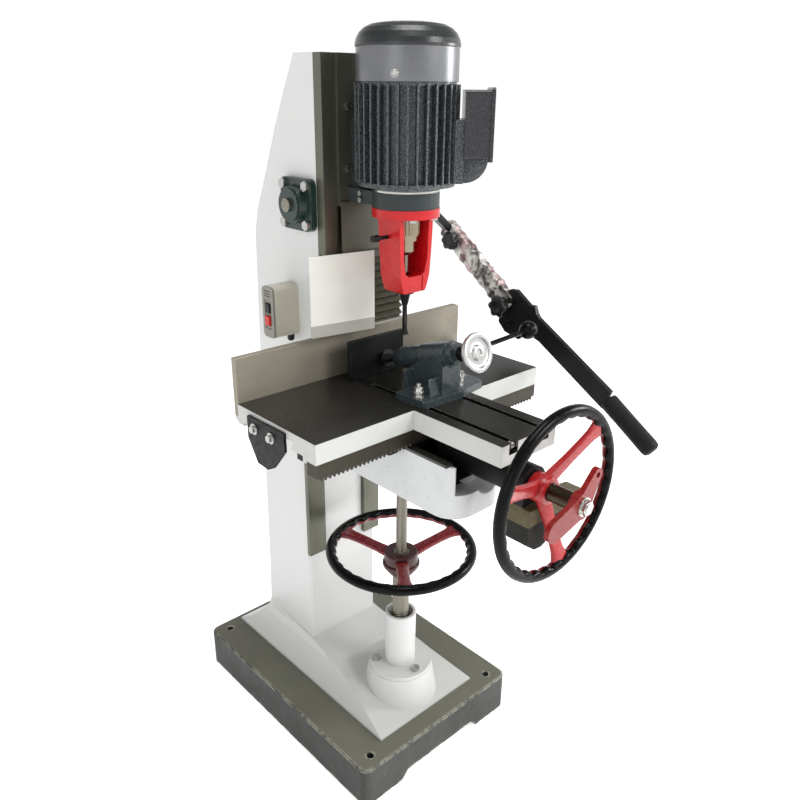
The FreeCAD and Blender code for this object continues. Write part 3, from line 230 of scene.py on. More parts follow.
def cast(name, col, rough=0.45, grain=0.25, scale=420, soft=0.0012, vary=0.25, coat=0.0, metal=0.0, dust=None, spec=0.5, wear=None):
    m = Mat(name)
    fine = m.noise(scale, 3, 0.6)
    mid = m.noise(90, 3, 0.5)
    big = m.noise(12, 4, 0.6)
    c = m.mix(m.mapr(big, 0.35, 0.7, 0, vary), col, tuple(v * 0.55 for v in col))
    if dust:
        c = m.mix(m.mapr(m.noise(30, 6, 0.7), 0.55, 0.8, 0, 0.35), c, dust)
    if wear:
        e = m.math("MULTIPLY", m.edge_mask(0.0022, 4.0), m.mapr(m.noise(150, 4, 0.7), 0.45, 0.6, 0, 0.7), clamp=True)
        c = m.mix(e, c, wear)
    m.b.inputs["Specular IOR Level"].default_value = spec
    m.set(color=c, rough=m.mapr(mid, 0.3, 0.7, rough - 0.08, rough + 0.12), metal=metal,
          normal=m.bump(m.math("ADD", fine, m.math("MULTIPLY", mid, 1.5)), grain, 0.0012, m.soft_edges(soft)), coat=coat)
    return m.m


M = {}
M["white"] = enamel("enamel_white", srgb(214, 215, 213), chips=0.0, dirt_amt=0.05, orange=0.02)
M["zinc"] = steel("zinc_plated", srgb(196, 196, 192), 0.28, (60, 60, 60))
M["way"] = steel("ground_ways", srgb(112, 112, 100), 0.38, (260, 260, 4), metal=0.8)
M["slide"] = steel("slide_iron", srgb(96, 97, 86), 0.42, (200, 200, 3), metal=0.6)
M["steel"] = steel("turned_steel", srgb(150, 146, 134), 0.3, (4, 4, 320))
M["chuck"] = steel("chuck_steel", srgb(170, 160, 138), 0.24, (4, 4, 320), 0.05)
M["bright"] = steel("bright_steel", srgb(214, 213, 208), 0.16, (4, 4, 260), 0.04)
M["shaft"] = steel("oiled_shaft", srgb(74, 66, 54), 0.26, (4, 4, 260), 0.05)
M["chrome"] = steel("satin_chrome", srgb(196, 196, 194), 0.3, (30, 30, 30), 0.01, metal=0.85, dark=0.9, blotch=0.1)
M["black"] = cast("black_satin", srgb(20, 21, 22), 0.42, 0.12, spec=0.22, wear=srgb(90, 90, 88))
M["bar"] = cast("lever_black", srgb(25, 25, 26), 0.4, 0.08, 300, spec=0.25, wear=srgb(110, 108, 104))
M["screws"] = cast("black_oxide", srgb(22, 22, 23), 0.35, 0.05, metal=0.4, spec=0.3)
M["red"] = cast("red_casting", srgb(198, 18, 24), 0.3, 0.3, 260, vary=0.35, coat=0.25, spec=0.35)
M["crimson"] = cast("crimson_enamel", srgb(176, 34, 38), 0.24, 0.12, 200, vary=0.45, coat=0.3, spec=0.4, wear=srgb(236, 190, 184))
M["wheel_red"] = cast("wheel_red", srgb(122, 22, 30), 0.24, 0.12, 200, vary=0.45, coat=0.3, spec=0.4, wear=srgb(196, 120, 120))
M["crank"] = cast("crank_enamel", srgb(140, 24, 24), 0.28, 0.2, 240, vary=0.5, coat=0.2, spec=0.35, wear=srgb(206, 120, 110))
M["green"] = cast("dark_green_iron", srgb(20, 44, 38), 0.3, 0.25, coat=0.3, spec=0.4, wear=srgb(120, 130, 120))
M["insert"] = steel("bearing_insert", srgb(120, 116, 100), 0.3, (60, 60, 60))
M["vise"] = cast("vise_enamel", srgb(52, 62, 65), 0.3, 0.4, 240, vary=0.45, coat=0.25, spec=0.4, wear=srgb(150, 162, 162))
M["cream"] = cast("cream_plastic", srgb(206, 202, 186), 0.42, 0.05, vary=0.06)
M["greyp"] = cast("grey_plastic", srgb(140, 138, 128), 0.45, 0.05, vary=0.06)
M["key_black"] = cast("key_black", srgb(20, 20, 21), 0.28, 0.02, spec=0.35)
M["key_red"] = cast("key_red", srgb(206, 50, 36), 0.25, 0.02, vary=0.1)
M["knob"] = cast("knob_black", srgb(26, 29, 29), 0.36, 0.06, 500, spec=0.4, wear=srgb(104, 108, 104))
M["rubber"] = cast("rubber_black", srgb(22, 22, 22), 0.55, 0.16, 700, spec=0.2)
M["gloss_black"] = cast("gloss_black", srgb(9, 9, 9), 0.24, 0.03, vary=0.1, coat=0.0, spec=0.12)
M["bellows"] = cast("way_cover", srgb(78, 77, 64), 0.55, 0.3, 500, vary=0.35, dust=srgb(112, 110, 96), spec=0.3)
M["brass"] = steel("nut_bronze", srgb(176, 140, 80), 0.3, (4, 4, 200))
# bracket grey: made darker than its own blue-grey paint, as painted shade for the shadow over part of it
M["bracket"] = cast("bracket_grey", srgb(52, 58, 58), 0.4, 0.3, 260, vary=0.5, spec=0.3, wear=srgb(128, 130, 128))
M["hub_dark"] = cast("hub_dark_red", srgb(64, 20, 22), 0.3, 0.2, 240, vary=0.4, coat=0.2, spec=0.35, wear=srgb(120, 70, 70))
M["strip"] = cast("strip_grey", srgb(150, 148, 138), 0.4, 0.08, vary=0.15, spec=0.4)
M["rim_red"] = cast("rim_red_under", srgb(122, 26, 30), 0.3, 0.1, 200, vary=0.4, coat=0.3)


def panel_mat():
    m = Mat("panel_paint")
    z = m.xyz()[2]
    # painted shade: below z 0.9615 the bent-back lower lip is coloured a darker grey
    strip = m.math("LESS_THAN", z, 0.9615)
    smear = m.noise(6, 5, 0.65, m.mapped((1, 1, 5)))
    c = m.mix(m.mapr(smear, 0.4, 0.75, 0, 0.2), srgb(222, 222, 214), srgb(198, 196, 186))
    c = m.mix(m.math("MULTIPLY", strip, 0.8), c, srgb(150, 148, 140))
    m.set(color=c, rough=m.mapr(smear, 0.3, 0.7, 0.3, 0.45), normal=m.bump(m.noise(5, 3), 0.12, 0.004, m.soft_edges(0.0006)))
    return m.m


M["panel"] = panel_mat()


def sleeve_mat():
    """Bright plating under a film of protective wrap, crinkled and streaky; its colour bands from near-black to
    near-white are painted reflections.
    """
    m = Mat("bright_wrapped")
    big = m.noise(34, 3, 0.55, m.mapped((1, 1.0, 1.0), (0.7, 0, 0)), 1.0)
    wr = m.noise(110, 5, 0.7, m.mapped((0.6, 1, 2.4), (0.9, 0, 0)), 2.0)
    t = m.noise(16, 2, 0.5)
    # painted reflections: the ramp turns the noise into dark and bright bands on the plating
    c = m.ramp(big, ((0.34, srgb(40, 36, 36)), (0.44, srgb(96, 92, 88)), (0.50, srgb(190, 187, 180)), (0.60, srgb(228, 226, 221)), (0.66, srgb(120, 114, 110)), (0.72, srgb(206, 200, 195))))
    c = m.mix(m.mapr(t, 0.56, 0.62, 0, 0.4), c, srgb(170, 96, 108))
    m.set(color=c, metal=0.45, rough=m.mapr(wr, 0.3, 0.7, 0.1, 0.3),
          normal=m.bump(wr, 0.5, 0.003, m.soft_edges(0.002)), coat=0.5)
    m.b.inputs["Coat Roughness"].default_value = 0.08
    return m.m


M["sleeve"] = sleeve_mat()


def feed_block_mat():
    """Black housing above, bare olive ledge, dark foot below: under the ledge, faces turned up take the olive as
    painted light and the other faces the near-black as painted shade.
    """
    m = Mat("feed_block")
    p = m.xyz()
    n = m.nrm()
    v = m.noise(60, 4, 0.6)
    red = m.mix(m.mapr(v, 0.35, 0.7, 0, 0.5), srgb(26, 27, 26), srgb(18, 19, 18))
    olive = m.mix(m.mapr(v, 0.35, 0.7, 0, 0.5), srgb(98, 90, 64), srgb(66, 60, 42))
    dark = m.mix(m.mapr(v, 0.35, 0.7, 0, 0.5), srgb(24, 26, 19), srgb(14, 15, 11))
    # painted light and shade: faces turned up get the olive, the foot's other faces the near-black
    up = m.mapr(n[2], 0.5, 0.8, 0, 1)
    lower = m.mix(m.math("MAXIMUM", up, m.math("GREATER_THAN", p[2], 0.672)), dark, olive)
    c = m.mix(m.math("GREATER_THAN", p[2], 0.7055), lower, red)
    m.set(color=c, rough=m.mapr(v, 0.3, 0.7, 0.32, 0.5), normal=m.bump(m.noise(240, 4, 0.6), 0.35, 0.0015, m.soft_edges(0.002)))
    m.b.inputs["Specular IOR Level"].default_value = 0.2
    return m.m


M["olive"] = feed_block_mat()


def motor_mat(name, light, dark, strength, metal=0.2, grain=300):
    m = Mat(name)
    v = m.voronoi(grain)
    v2 = m.noise(420, 3, 0.6)
    c = m.mix(m.mapr(v, 0.0, 0.6, 0, 1), light, dark)
    h = m.math("ADD", v, m.math("MULTIPLY", v2, 0.6))
    m.set(color=c, rough=m.mapr(v2, 0.3, 0.7, 0.24, 0.4), normal=m.bump(h, strength, 0.0016, m.soft_edges(0.001)), metal=metal, coat=0.35)
    m.b.inputs["Specular IOR Level"].default_value = 0.4
    m.b.inputs["Coat Roughness"].default_value = 0.22
    return m.m


M["motor"] = motor_mat("hammered_grey", srgb(124, 129, 132), srgb(50, 53, 55), 0.6, 0.5, 480)
M["tbox"] = motor_mat("terminal_box_grey", srgb(62, 62, 66), srgb(34, 35, 38), 0.3)


def cover_mat():
    """Cast cowl: dark on the dome, a shade lighter round the side."""
    m = Mat("cover_grey")
    z = m.xyz()[2]
    v = m.noise(300, 3, 0.6)
    side = m.mapr(z, 1.4425, 1.4445, 1, 0)
    c = m.mix(side, srgb(36, 38, 39), srgb(112, 113, 116))
    c = m.mix(m.mapr(m.noise(14, 4, 0.6), 0.4, 0.7, 0, 0.25), c, srgb(40, 42, 44))
    m.set(color=c, rough=m.mapr(v, 0.3, 0.7, 0.26, 0.4), normal=m.bump(v, 0.2, 0.0008, m.soft_edges(0.0015)), metal=m.math("MULTIPLY", side, 0.5), coat=0.2)
    m.b.inputs["Specular IOR Level"].default_value = 0.4
    m.b.inputs["Coat Roughness"].default_value = 0.25
    return m.m


M["cover"] = cover_mat()


def base_mat():
    m = Mat("base_enamel")
    n = m.nrm()
    # painted light and shade: faces turned up get the lighter top colour, faces turned to -X the near-black, the other
    # sides the mid tone
    up = m.mapr(n[2], 0.6, 0.9, 0, 1)
    left_face_shade = m.mapr(n[0], -0.6, -0.9, 0, 1)
    side = m.mix(left_face_shade, srgb(58, 60, 56), srgb(32, 33, 29))
    top = srgb(108, 108, 96)
    c = m.mix(up, side, top)
    blot = m.noise(9, 5, 0.65)
    # the blots follow facing too: lighter on faces turned up, darker on the sides, as painted light and shade
    c = m.mix(m.mapr(blot, 0.4, 0.7, 0, 0.35), c, m.mix(up, srgb(48, 50, 44), srgb(128, 126, 112)))
    scuff = m.math("MULTIPLY", m.edge_mask(0.009, 6.0), m.mapr(m.noise(48, 5, 0.7), 0.44, 0.54, 0, 1), clamp=True)
    c = m.mix(scuff, c, srgb(206, 202, 186))
    spots = m.mapr(m.noise(140, 4, 0.7), 0.68, 0.73, 0, 0.6)
    c = m.mix(spots, c, srgb(150, 147, 134))
    m.b.inputs["Specular IOR Level"].default_value = 0.35
    m.set(color=c, rough=m.mapr(blot, 0.3, 0.7, 0.4, 0.6),
          normal=m.bump(m.math("ADD", m.noise(120, 4, 0.6), m.math("MULTIPLY", m.noise(25, 3), 1.6)), 0.45, 0.002, m.soft_edges(0.004)))
    return m.m


M["base"] = base_mat()


def table_mat():
    """Ground top gone dark with oil, off-white enamel on the sides, painted shade inside the slots and on the downward
    faces.
    """
    m = Mat("table_iron")
    p = m.xyz()
    n = m.nrm()
    up = m.mapr(n[2], 0.7, 0.9, 0, 1)
    # painted shade: the two slot bands are coloured near-black inside the slots
    l = m.math("LESS_THAN", m.math("ABSOLUTE", m.math("ADD", p[0], 0.037)), 0.0115)
    r = m.math("LESS_THAN", m.math("ABSOLUTE", m.math("SUBTRACT", p[0], 0.047)), 0.0115)
    slot_shade_mask = m.math("MULTIPLY", m.math("ADD", l, r, clamp=True), m.math("GREATER_THAN", p[2], 0.8175))
    grind = m.noise(3, 5, 0.7, m.mapped((2, 160, 2)))
    oil = m.noise(8, 5, 0.65)
    topc = m.mix(m.mapr(grind, 0.3, 0.7, 0, 0.6), srgb(34, 33, 29), srgb(23, 22, 19))
    topc = m.mix(m.mapr(oil, 0.45, 0.7, 0, 0.35), topc, srgb(50, 47, 40))
    slot_shade_col = srgb(20, 19, 17)
    sidec = m.mix(m.mapr(m.noise(26, 5, 0.65), 0.6, 0.8, 0, 0.2), srgb(198, 199, 195), srgb(140, 136, 122))
    c = m.mix(up, sidec, topc)
    c = m.mix(slot_shade_mask, c, slot_shade_col)
    # the underside and the bed over the saddle are bare iron, and every downward face is coloured dark as painted
    # shade
    down = m.mapr(n[2], -0.9, -0.6, 1, 0)
    c = m.mix(down, c, srgb(40, 40, 38))
    edge = m.math("MULTIPLY", m.edge_mask(0.0025, 4.0), m.mapr(m.noise(90, 4, 0.7), 0.35, 0.6, 0.2, 1), clamp=True)
    c = m.mix(m.math("MULTIPLY", edge, 0.5), c, srgb(190, 186, 172))
    m.b.inputs["Specular IOR Level"].default_value = 0.22
    m.set(color=c, rough=m.mapr(oil, 0.3, 0.7, 0.24, 0.38), metal=0.0,
          normal=m.bump(m.math("ADD", m.noise(180, 3), grind), 0.1, 0.0008, m.soft_edges(0.0015)))
    return m.m


M["table"] = table_mat()
M["fence"] = steel("fence_ground", srgb(158, 151, 136), 0.45, (3, 3, 240), 0.1, 0.5, 0.8)
M["rack"] = steel("rack_oiled", srgb(66, 62, 52), 0.42, (200, 4, 4), 0.1, 0.6, 0.6)


def knee_mat():
    """White casting with bare, oiled ways along its top."""
    m = Mat("knee_enamel")
    p = m.xyz()
    smudge = m.mapr(m.noise(22, 5, 0.65), 0.5, 0.8, 0, 0.25)
    c = m.mix(smudge, srgb(206, 208, 208), srgb(150, 148, 140))
    bare = m.math("GREATER_THAN", p[2], 0.7572)
    c = m.mix(bare, c, srgb(52, 50, 44))
    # painted shade: darker inside the trough between the ways, back from the nose
    inner = m.math("MULTIPLY", m.math("LESS_THAN", m.math("ABSOLUTE", p[0]), 0.0585), m.math("MULTIPLY", m.math("GREATER_THAN", p[2], 0.6985), m.math("GREATER_THAN", p[1], -0.345)))
    c = m.mix(inner, c, srgb(58, 56, 50))
    m.set(color=c, rough=m.mapr(m.noise(40, 3), 0.3, 0.7, 0.26, 0.42),
          normal=m.bump(m.math("ADD", m.noise(260, 2), m.noise(60, 2)), 0.06, 0.001, m.soft_edges(0.003)), coat=0.2)
    return m.m


M["knee"] = knee_mat()


def paint_node(node, mat):
    o = NODES[node]
    o.data.materials.clear()
    o.data.materials.append(M[mat])


PAINT = {
    "base_plate": "base", "column": "white", "head_way_plate": "way", "head_keeper_bars": "way",
    "knee_way_strips": "way", "way_bellows": "bellows", "plain_panel": "panel", "lift_nut_tube": "white", "lever_bearings": "green",
    "frame_bolts": "zinc", "switch_box": "cream", "switch_front": "greyp", "start_button": "key_black", "stop_button": "key_red",
    "head_slide": "slide", "head_rack": "way", "head_bolts": "zinc", "head_bracket": "bracket", "motor_frame": "motor",
    "motor_fan_cover": "cover", "terminal_box": "tbox", "terminal_box_lid": "tbox", "chisel_yoke": "red",
    "yoke_side_handle": "black", "hollow_chisel": "screws", "chisel_lock_lever": "black", "motor_rotor": "steel", "motor_fan": "black",
    "drill_chuck": "chuck", "mortise_bit": "steel", "lever_shaft": "steel", "feed_gear": "steel", "lever_arm": "bar", "lever_sleeve": "sleeve",
    "lever_bar": "bar", "lever_grip": "rubber", "lever_knob_upper": "knob", "lever_knob_lower": "knob",
    "knee_casting": "knee", "knee_keepers": "black", "cross_feed_nut": "brass", "saddle": "black", "feed_shaft_housing": "black",
    "feed_bearing_block": "olive", "table_casting": "table", "fence": "fence", "table_rack": "rack", "table_end_plates": "black",
    "lift_handwheel": "crimson", "lift_screw": "steel", "feed_handwheel": "crimson", "feed_pinion_shaft": "shaft",
    "cross_crank": "crank", "cross_screw": "bright", "vise_body": "vise", "table_bolts": "zinc", "vise_ram": "bright",
    "vise_jaw": "black", "vise_handwheel": "bright", "vise_ball_lever": "key_black",
}
for n, m in PAINT.items():
    if n in NODES:
        paint_node(n, m)


# ------------------------------------------------------------------ mesh helpers
def obj(name, bm, mat, smooth=None, body=None, replaces=(), bevel=None, segs=2, sub=0):
    me = bpy.data.meshes.new(name)
    bm.normal_update()
    bm.to_mesh(me)
    bm.free()
    o = bpy.data.objects.new(name, me)
    bpy.context.scene.collection.objects.link(o)
    for mm in (mat if isinstance(mat, (list, tuple)) else [mat]):
        me.materials.append(M[mm] if isinstance(mm, str) else mm)
    if smooth is not None:
        for p in me.polygons:
            p.use_smooth = True
        me.set_sharp_from_angle(angle=math.radians(smooth))
    if bevel:
        b = o.modifiers.new("bevel", "BEVEL")
        b.width = bevel
        b.segments = segs
        b.limit_method = "ANGLE"
        b.angle_limit = math.radians(35)
    if sub:
        s = o.modifiers.new("sub", "SUBSURF")
        s.levels = sub
        s.render_levels = sub
    if body:
        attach(o, body)
    if replaces:
        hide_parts(*([replaces] if isinstance(replaces, str) else replaces))
    return o


def add_lathe(bm, prof, segs=64, mat=Matrix.Identity(4), closed=False, mi=0):
    """Revolves (r, z) points about Z. A closed profile is a ring."""
    rings = []
    for r, z in prof:
        if r < 1e-7:
            rings.append([bm.verts.new(mat @ Vector((0, 0, z)))])
        else:
            rings.append([bm.verts.new(mat @ Vector((r * math.cos(2 * math.pi * k / segs), r * math.sin(2 * math.pi * k / segs), z))) for k in range(segs)])
    pairs = list(zip(rings, rings[1:]))
    if closed:
        pairs.append((rings[-1], rings[0]))
    for a, b in pairs:
        for k in range(segs):
            j = (k + 1) % segs
            if len(a) == 1 and len(b) == 1:
                continue
            if len(a) == 1:
                f = bm.faces.new((a[0], b[j], b[k]))
            elif len(b) == 1:
                f = bm.faces.new((a[k], a[j], b[0]))
            else:
                f = bm.faces.new((a[k], a[j], b[j], b[k]))
            f.material_index = mi
    return rings


def add_prism(bm, pts, a, b, mat=Matrix.Identity(4), mi=0):
    """Extrudes (u, v) points along Z from a to b."""
    lo = [bm.verts.new(mat @ Vector((x, y, a))) for x, y in pts]
    hi = [bm.verts.new(mat @ Vector((x, y, b))) for x, y in pts]
    fs = [bm.faces.new(list(reversed(lo))), bm.faces.new(hi)]
    n = len(pts)
    for k in range(n):
        fs.append(bm.faces.new((lo[k], lo[(k + 1) % n], hi[(k + 1) % n], hi[k])))
    for f in fs:
        f.material_index = mi
    return fs


def add_box(bm, lo, hi, mat=Matrix.Identity(4), mi=0):
    return add_prism(bm, [(lo[0], lo[1]), (hi[0], lo[1]), (hi[0], hi[1]), (lo[0], hi[1])], lo[2], hi[2], mat, mi)


def frame_at(origin, zdir, xdir=None):
    """Matrix whose Z runs along zdir from origin."""
    z = Vector(zdir).normalized()
    x = Vector(xdir) if xdir is not None else (Vector((1, 0, 0)) if abs(z.x) < 0.9 else Vector((0, 1, 0)))
    x = (x - z * x.dot(z)).normalized()
    y = z.cross(x)
    m = Matrix((x, y, z)).transposed().to_4x4()
    m.translation = Vector(origin)
    return m


# ------------------------------------------------------------------ handwheels
def handwheel(name, R, tube, to_world, angs, body, node, dish, hub_prof, hub_mat, spoke_mat, power=1.0, hub_segs=48):
    """Black rim with finger grips on its inner side, red flat spokes let into it."""
    n = 30
    segs = n * 8
    ring = 22
    bm = bmesh.new()
    grid = []
    for i in range(segs):
        a = 2 * math.pi * i / segs
        wave = (0.5 - 0.5 * math.cos(n * a)) ** 1.3      # 1 in a hollow, 0 on a crest
        row = []
        for j in range(ring):
            t = 2 * math.pi * j / ring
            inward = max(0.0, -math.cos(t))
            rr = tube * (1.0 - 0.42 * wave * inward ** 0.7)
            x = R + rr * math.cos(t)
            z = tube * 0.92 * math.sin(t)
            row.append(bm.verts.new(to_world @ Vector((x * math.cos(a), x * math.sin(a), z))))
        grid.append(row)
    for i in range(segs):
        for j in range(ring):
            f = bm.faces.new((grid[i][j], grid[(i + 1) % segs][j], grid[(i + 1) % segs][(j + 1) % ring], grid[i][(j + 1) % ring]))
            t = 2 * math.pi * (j + 0.5) / ring
            f.material_index = 1 if (math.sin(t) < -0.05 and math.cos(t) < 0.1) else 0
    bmesh.ops.recalc_face_normals(bm, faces=bm.faces)
    rim = obj(name + "_rim", bm, ["gloss_black", "rim_red"], smooth=60, body=body, replaces=node)
    bm = bmesh.new()
    for a in angs:
        a = math.radians(a)
        c, s = math.cos(a), math.sin(a)
        rows = []
        for k in range(17):
            t = k / 16.0
            r = 0.018 + (R - 0.003 - 0.018) * t
            w = 0.0165 - 0.0038 * math.sin(math.pi * t) + 0.006 * max(0, t - 0.82) / 0.18
            h = 0.0042 + 0.0008 * (1 - t)
            z = dish * (1 - t) ** power
            row = []
            for (u, v) in ((-w, -h), (w, -h), (w, h * 0.4), (w * 0.78, h), (w * 0.3, h * 1.05), (-w * 0.3, h * 1.05), (-w * 0.78, h), (-w, h * 0.4)):
                x, y = r * c - u * s, r * s + u * c
                row.append(bm.verts.new(to_world @ Vector((x, y, z + v))))
            rows.append(row)
        for p, q in zip(rows, rows[1:]):
            for k in range(8):
                bm.faces.new((p[k], p[(k + 1) % 8], q[(k + 1) % 8], q[k]))
        bm.faces.new(list(reversed(rows[0])))
        bm.faces.new(rows[-1])
    bmesh.ops.recalc_face_normals(bm, faces=bm.faces)
    sp = obj(name + "_spokes", bm, spoke_mat, smooth=40, body=body, bevel=0.0012)
    bm = bmesh.new()
    add_lathe(bm, hub_prof, hub_segs, to_world, closed=True)
    bmesh.ops.recalc_face_normals(bm, faces=bm.faces)
    hb = obj(name + "_hub", bm, hub_mat, smooth=35, body=body, bevel=0.001)
    return rim, sp, hb


LIFT = Matrix.Translation((0, -0.170, 0.468))
handwheel("lift_wheel", 0.1495, 0.0115, LIFT, (110, 230, 350), "lift_wheel", "lift_handwheel", -0.020,
          [(0.0182, -0.058), (0.026, -0.058), (0.0385, -0.040), (0.040, -0.037), (0.040, -0.031), (0.036, -0.029), (0.036, -0.008),
           (0.0335, -0.0045), (0.0182, -0.0045)], "hub_dark", "wheel_red", 1.3)
FEED = frame_at((0.018, -0.537, 0.743), (0, -1, 0), (1, 0, 0))
handwheel("feed_wheel", 0.1495, 0.0115, FEED, (41, 161, 281), "feed_wheel", "feed_handwheel", -0.031,
          [(0.0162, -0.049), (0.0245, -0.049), (0.0265, -0.046), (0.0265, -0.018), (0.0245, -0.0145), (0.0162, -0.013)], "crimson", "crimson", 1.0)


# ------------------------------------------------------------------ pleated cover
def pleats():
    z0, z1, n = 0.9412, 1.070, 9
    front = []
    per = 10
    for k in range(n * per + 1):
        t = k / per
        f = t - math.floor(t)
        tri = 1 - abs(2 * f - 1)                       # 0 in a valley, 1 on a fold
        y = -0.0525 - 0.0135 * (tri ** 0.75)
        front.append((y, z0 + (z1 - z0) * t / n))
    prof = [(-0.044, z0)] + front + [(-0.044, z1)]
    bm = bmesh.new()
    # cross-sections along X with a slight sag so that the folds are not ruler straight
    xs = [-0.0955 + 0.191 * i / 24 for i in range(25)]
    rows = []
    for i, x in enumerate(xs):
        edge = min(1.0, min(x + 0.0955, 0.0955 - x) / 0.006)
        row = []
        for y, z in prof:
            dz = 0.0006 * math.sin(i * 1.7 + z * 90) + 0.0004 * math.sin(i * 0.6 + z * 210)
            yy = -0.0525 + (y + 0.0525) * (0.72 + 0.28 * edge) if y < -0.0525 else y
            row.append(bm.verts.new(Vector((x, yy, z + (dz if y < -0.045 else 0)))))
        rows.append(row)
    m = len(prof)
    for p, q in zip(rows, rows[1:]):
        for k in range(m):
            bm.faces.new((p[k], p[(k + 1) % m], q[(k + 1) % m], q[k]))
    bm.faces.new(list(reversed(rows[0])))
    bm.faces.new(rows[-1])
    add_box(bm, (-0.065, -0.050, 1.0702), (0.0955, -0.0365, 1.0895))
    add_box(bm, (-0.0945, -0.0450, 1.0702), (-0.0655, -0.0365, 1.0895))
    bmesh.ops.recalc_face_normals(bm, faces=bm.faces)
    obj("pleated_cover", bm, "bellows", smooth=35, body="frame", replaces="way_bellows")


pleats()


# ------------------------------------------------------------------ threads
def thread(bm, r, z0, z1, pitch, depth, to_world, segs=40, per=6, cap=True):
    """Closed bar with a real helix on it."""
    n = max(2, int((z1 - z0) / pitch * per))
    rings = []
    for i in range(n + 1):
        z = z0 + (z1 - z0) * i / n
        row = []
        for k in range(segs):
            a = 2 * math.pi * k / segs
            f = (z / pitch - k / segs) % 1.0
            g = min(1.0, max(0.0, 1.6 * (1 - abs(2 * f - 1)) - 0.3))
            rr = r - depth * g
            row.append(bm.verts.new(to_world @ Vector((rr * math.cos(a), rr * math.sin(a), z))))
        rings.append(row)
    for p, q in zip(rings, rings[1:]):
        for k in range(segs):
            bm.faces.new((p[k], p[(k + 1) % segs], q[(k + 1) % segs], q[k]))
    if cap:
        bm.faces.new(list(reversed(rings[0])))
        bm.faces.new(rings[-1])


bm = bmesh.new()
AT = Matrix.Translation((0, -0.170, 0))
thread(bm, 0.018, 0.222, 0.462, 0.006, 0.0016, AT, 44, 6)
thread(bm, 0.0115, 0.4625, 0.686, 0.005, 0.0012, AT, 32, 6)
bmesh.ops.recalc_face_normals(bm, faces=bm.faces)
obj("lift_screw_threaded", bm, "steel", smooth=50, body="lift_wheel", replaces="lift_screw")

# ------------------------------------------------------------------ lever knobs and grip
def star(name, node, body, seat, r, h):
    """Moulded star knob standing towards -X from its seat."""
    T = frame_at(seat, (-1, 0, 0), (0, 1, 0))
    lobes, per = 6, 12
    segs = lobes * per
    prof = ((0.0, 0.30), (0.0012, 0.98), (0.002, 1.0), (0.6, 1.0), (0.82, 0.97), (0.95, 0.88), (1.0, 0.76))
    bm = bmesh.new()
    rings = []
    for u, k in prof:
        z = u * h if u > 0.01 else u
        row = []
        for i in range(segs):
            a = 2 * math.pi * i / segs
            w = (0.5 + 0.5 * math.cos(lobes * a)) ** 0.8
            rr = r * (0.80 + 0.20 * w) * k
            row.append(bm.verts.new(T @ Vector((rr * math.cos(a), rr * math.sin(a), z))))
        rings.append(row)
    # raised boss in the middle of the face
    for rr, z in ((0.52 * r, h * 0.99), (0.48 * r, h * 1.0), (0.40 * r, h * 0.90), (0.0, h * 0.88)):
        if rr == 0:
            rings.append([bm.verts.new(T @ Vector((0, 0, z)))])
        else:
            rings.append([bm.verts.new(T @ Vector((rr * math.cos(2 * math.pi * i / segs), rr * math.sin(2 * math.pi * i / segs), z))) for i in range(segs)])
    for p, q in zip(rings, rings[1:]):
        for i in range(segs):
            j = (i + 1) % segs
            if len(q) == 1:
                bm.faces.new((p[i], p[j], q[0]))
            else:
                bm.faces.new((p[i], p[j], q[j], q[i]))
    bm.faces.new(list(reversed(rings[0])))
    bmesh.ops.recalc_face_normals(bm, faces=bm.faces)
    obj(name, bm, "knob", smooth=40, body=body, replaces=node)


star("upper_star_knob", "lever_knob_upper", "knob_upper", (0.3145, 0.010, 1.061), 0.021, 0.016)
star("lower_star_knob", "lever_knob_lower", "knob_lower", (0.3165, -0.141, 0.939), 0.025, 0.016)

GRIP = frame_at((0.329, -0.4250, 0.7982), (0, -0.1119, -0.0744), (1, 0, 0))
L = math.hypot(0.1119, 0.0744)
bm = bmesh.new()
prof = [(0.0, 0.0), (0.016, 0.0), (0.0185, 0.002), (0.019, 0.006)]
for k in range(1, 10):
    z = 0.006 + (L - 0.016 - 0.006) * k / 10
    prof += [(0.019 - 0.0004 * math.sin(math.pi * k / 10), z)]
prof += [(0.019, L - 0.014), (0.0184, L - 0.008), (0.0165, L - 0.0035), (0.012, L - 0.0008), (0.0, L)]
add_lathe(bm, prof, 40, GRIP)
bmesh.ops.recalc_face_normals(bm, faces=bm.faces)
obj("lever_grip_sleeve", bm, "rubber", smooth=45, body="lever", replaces="lever_grip")

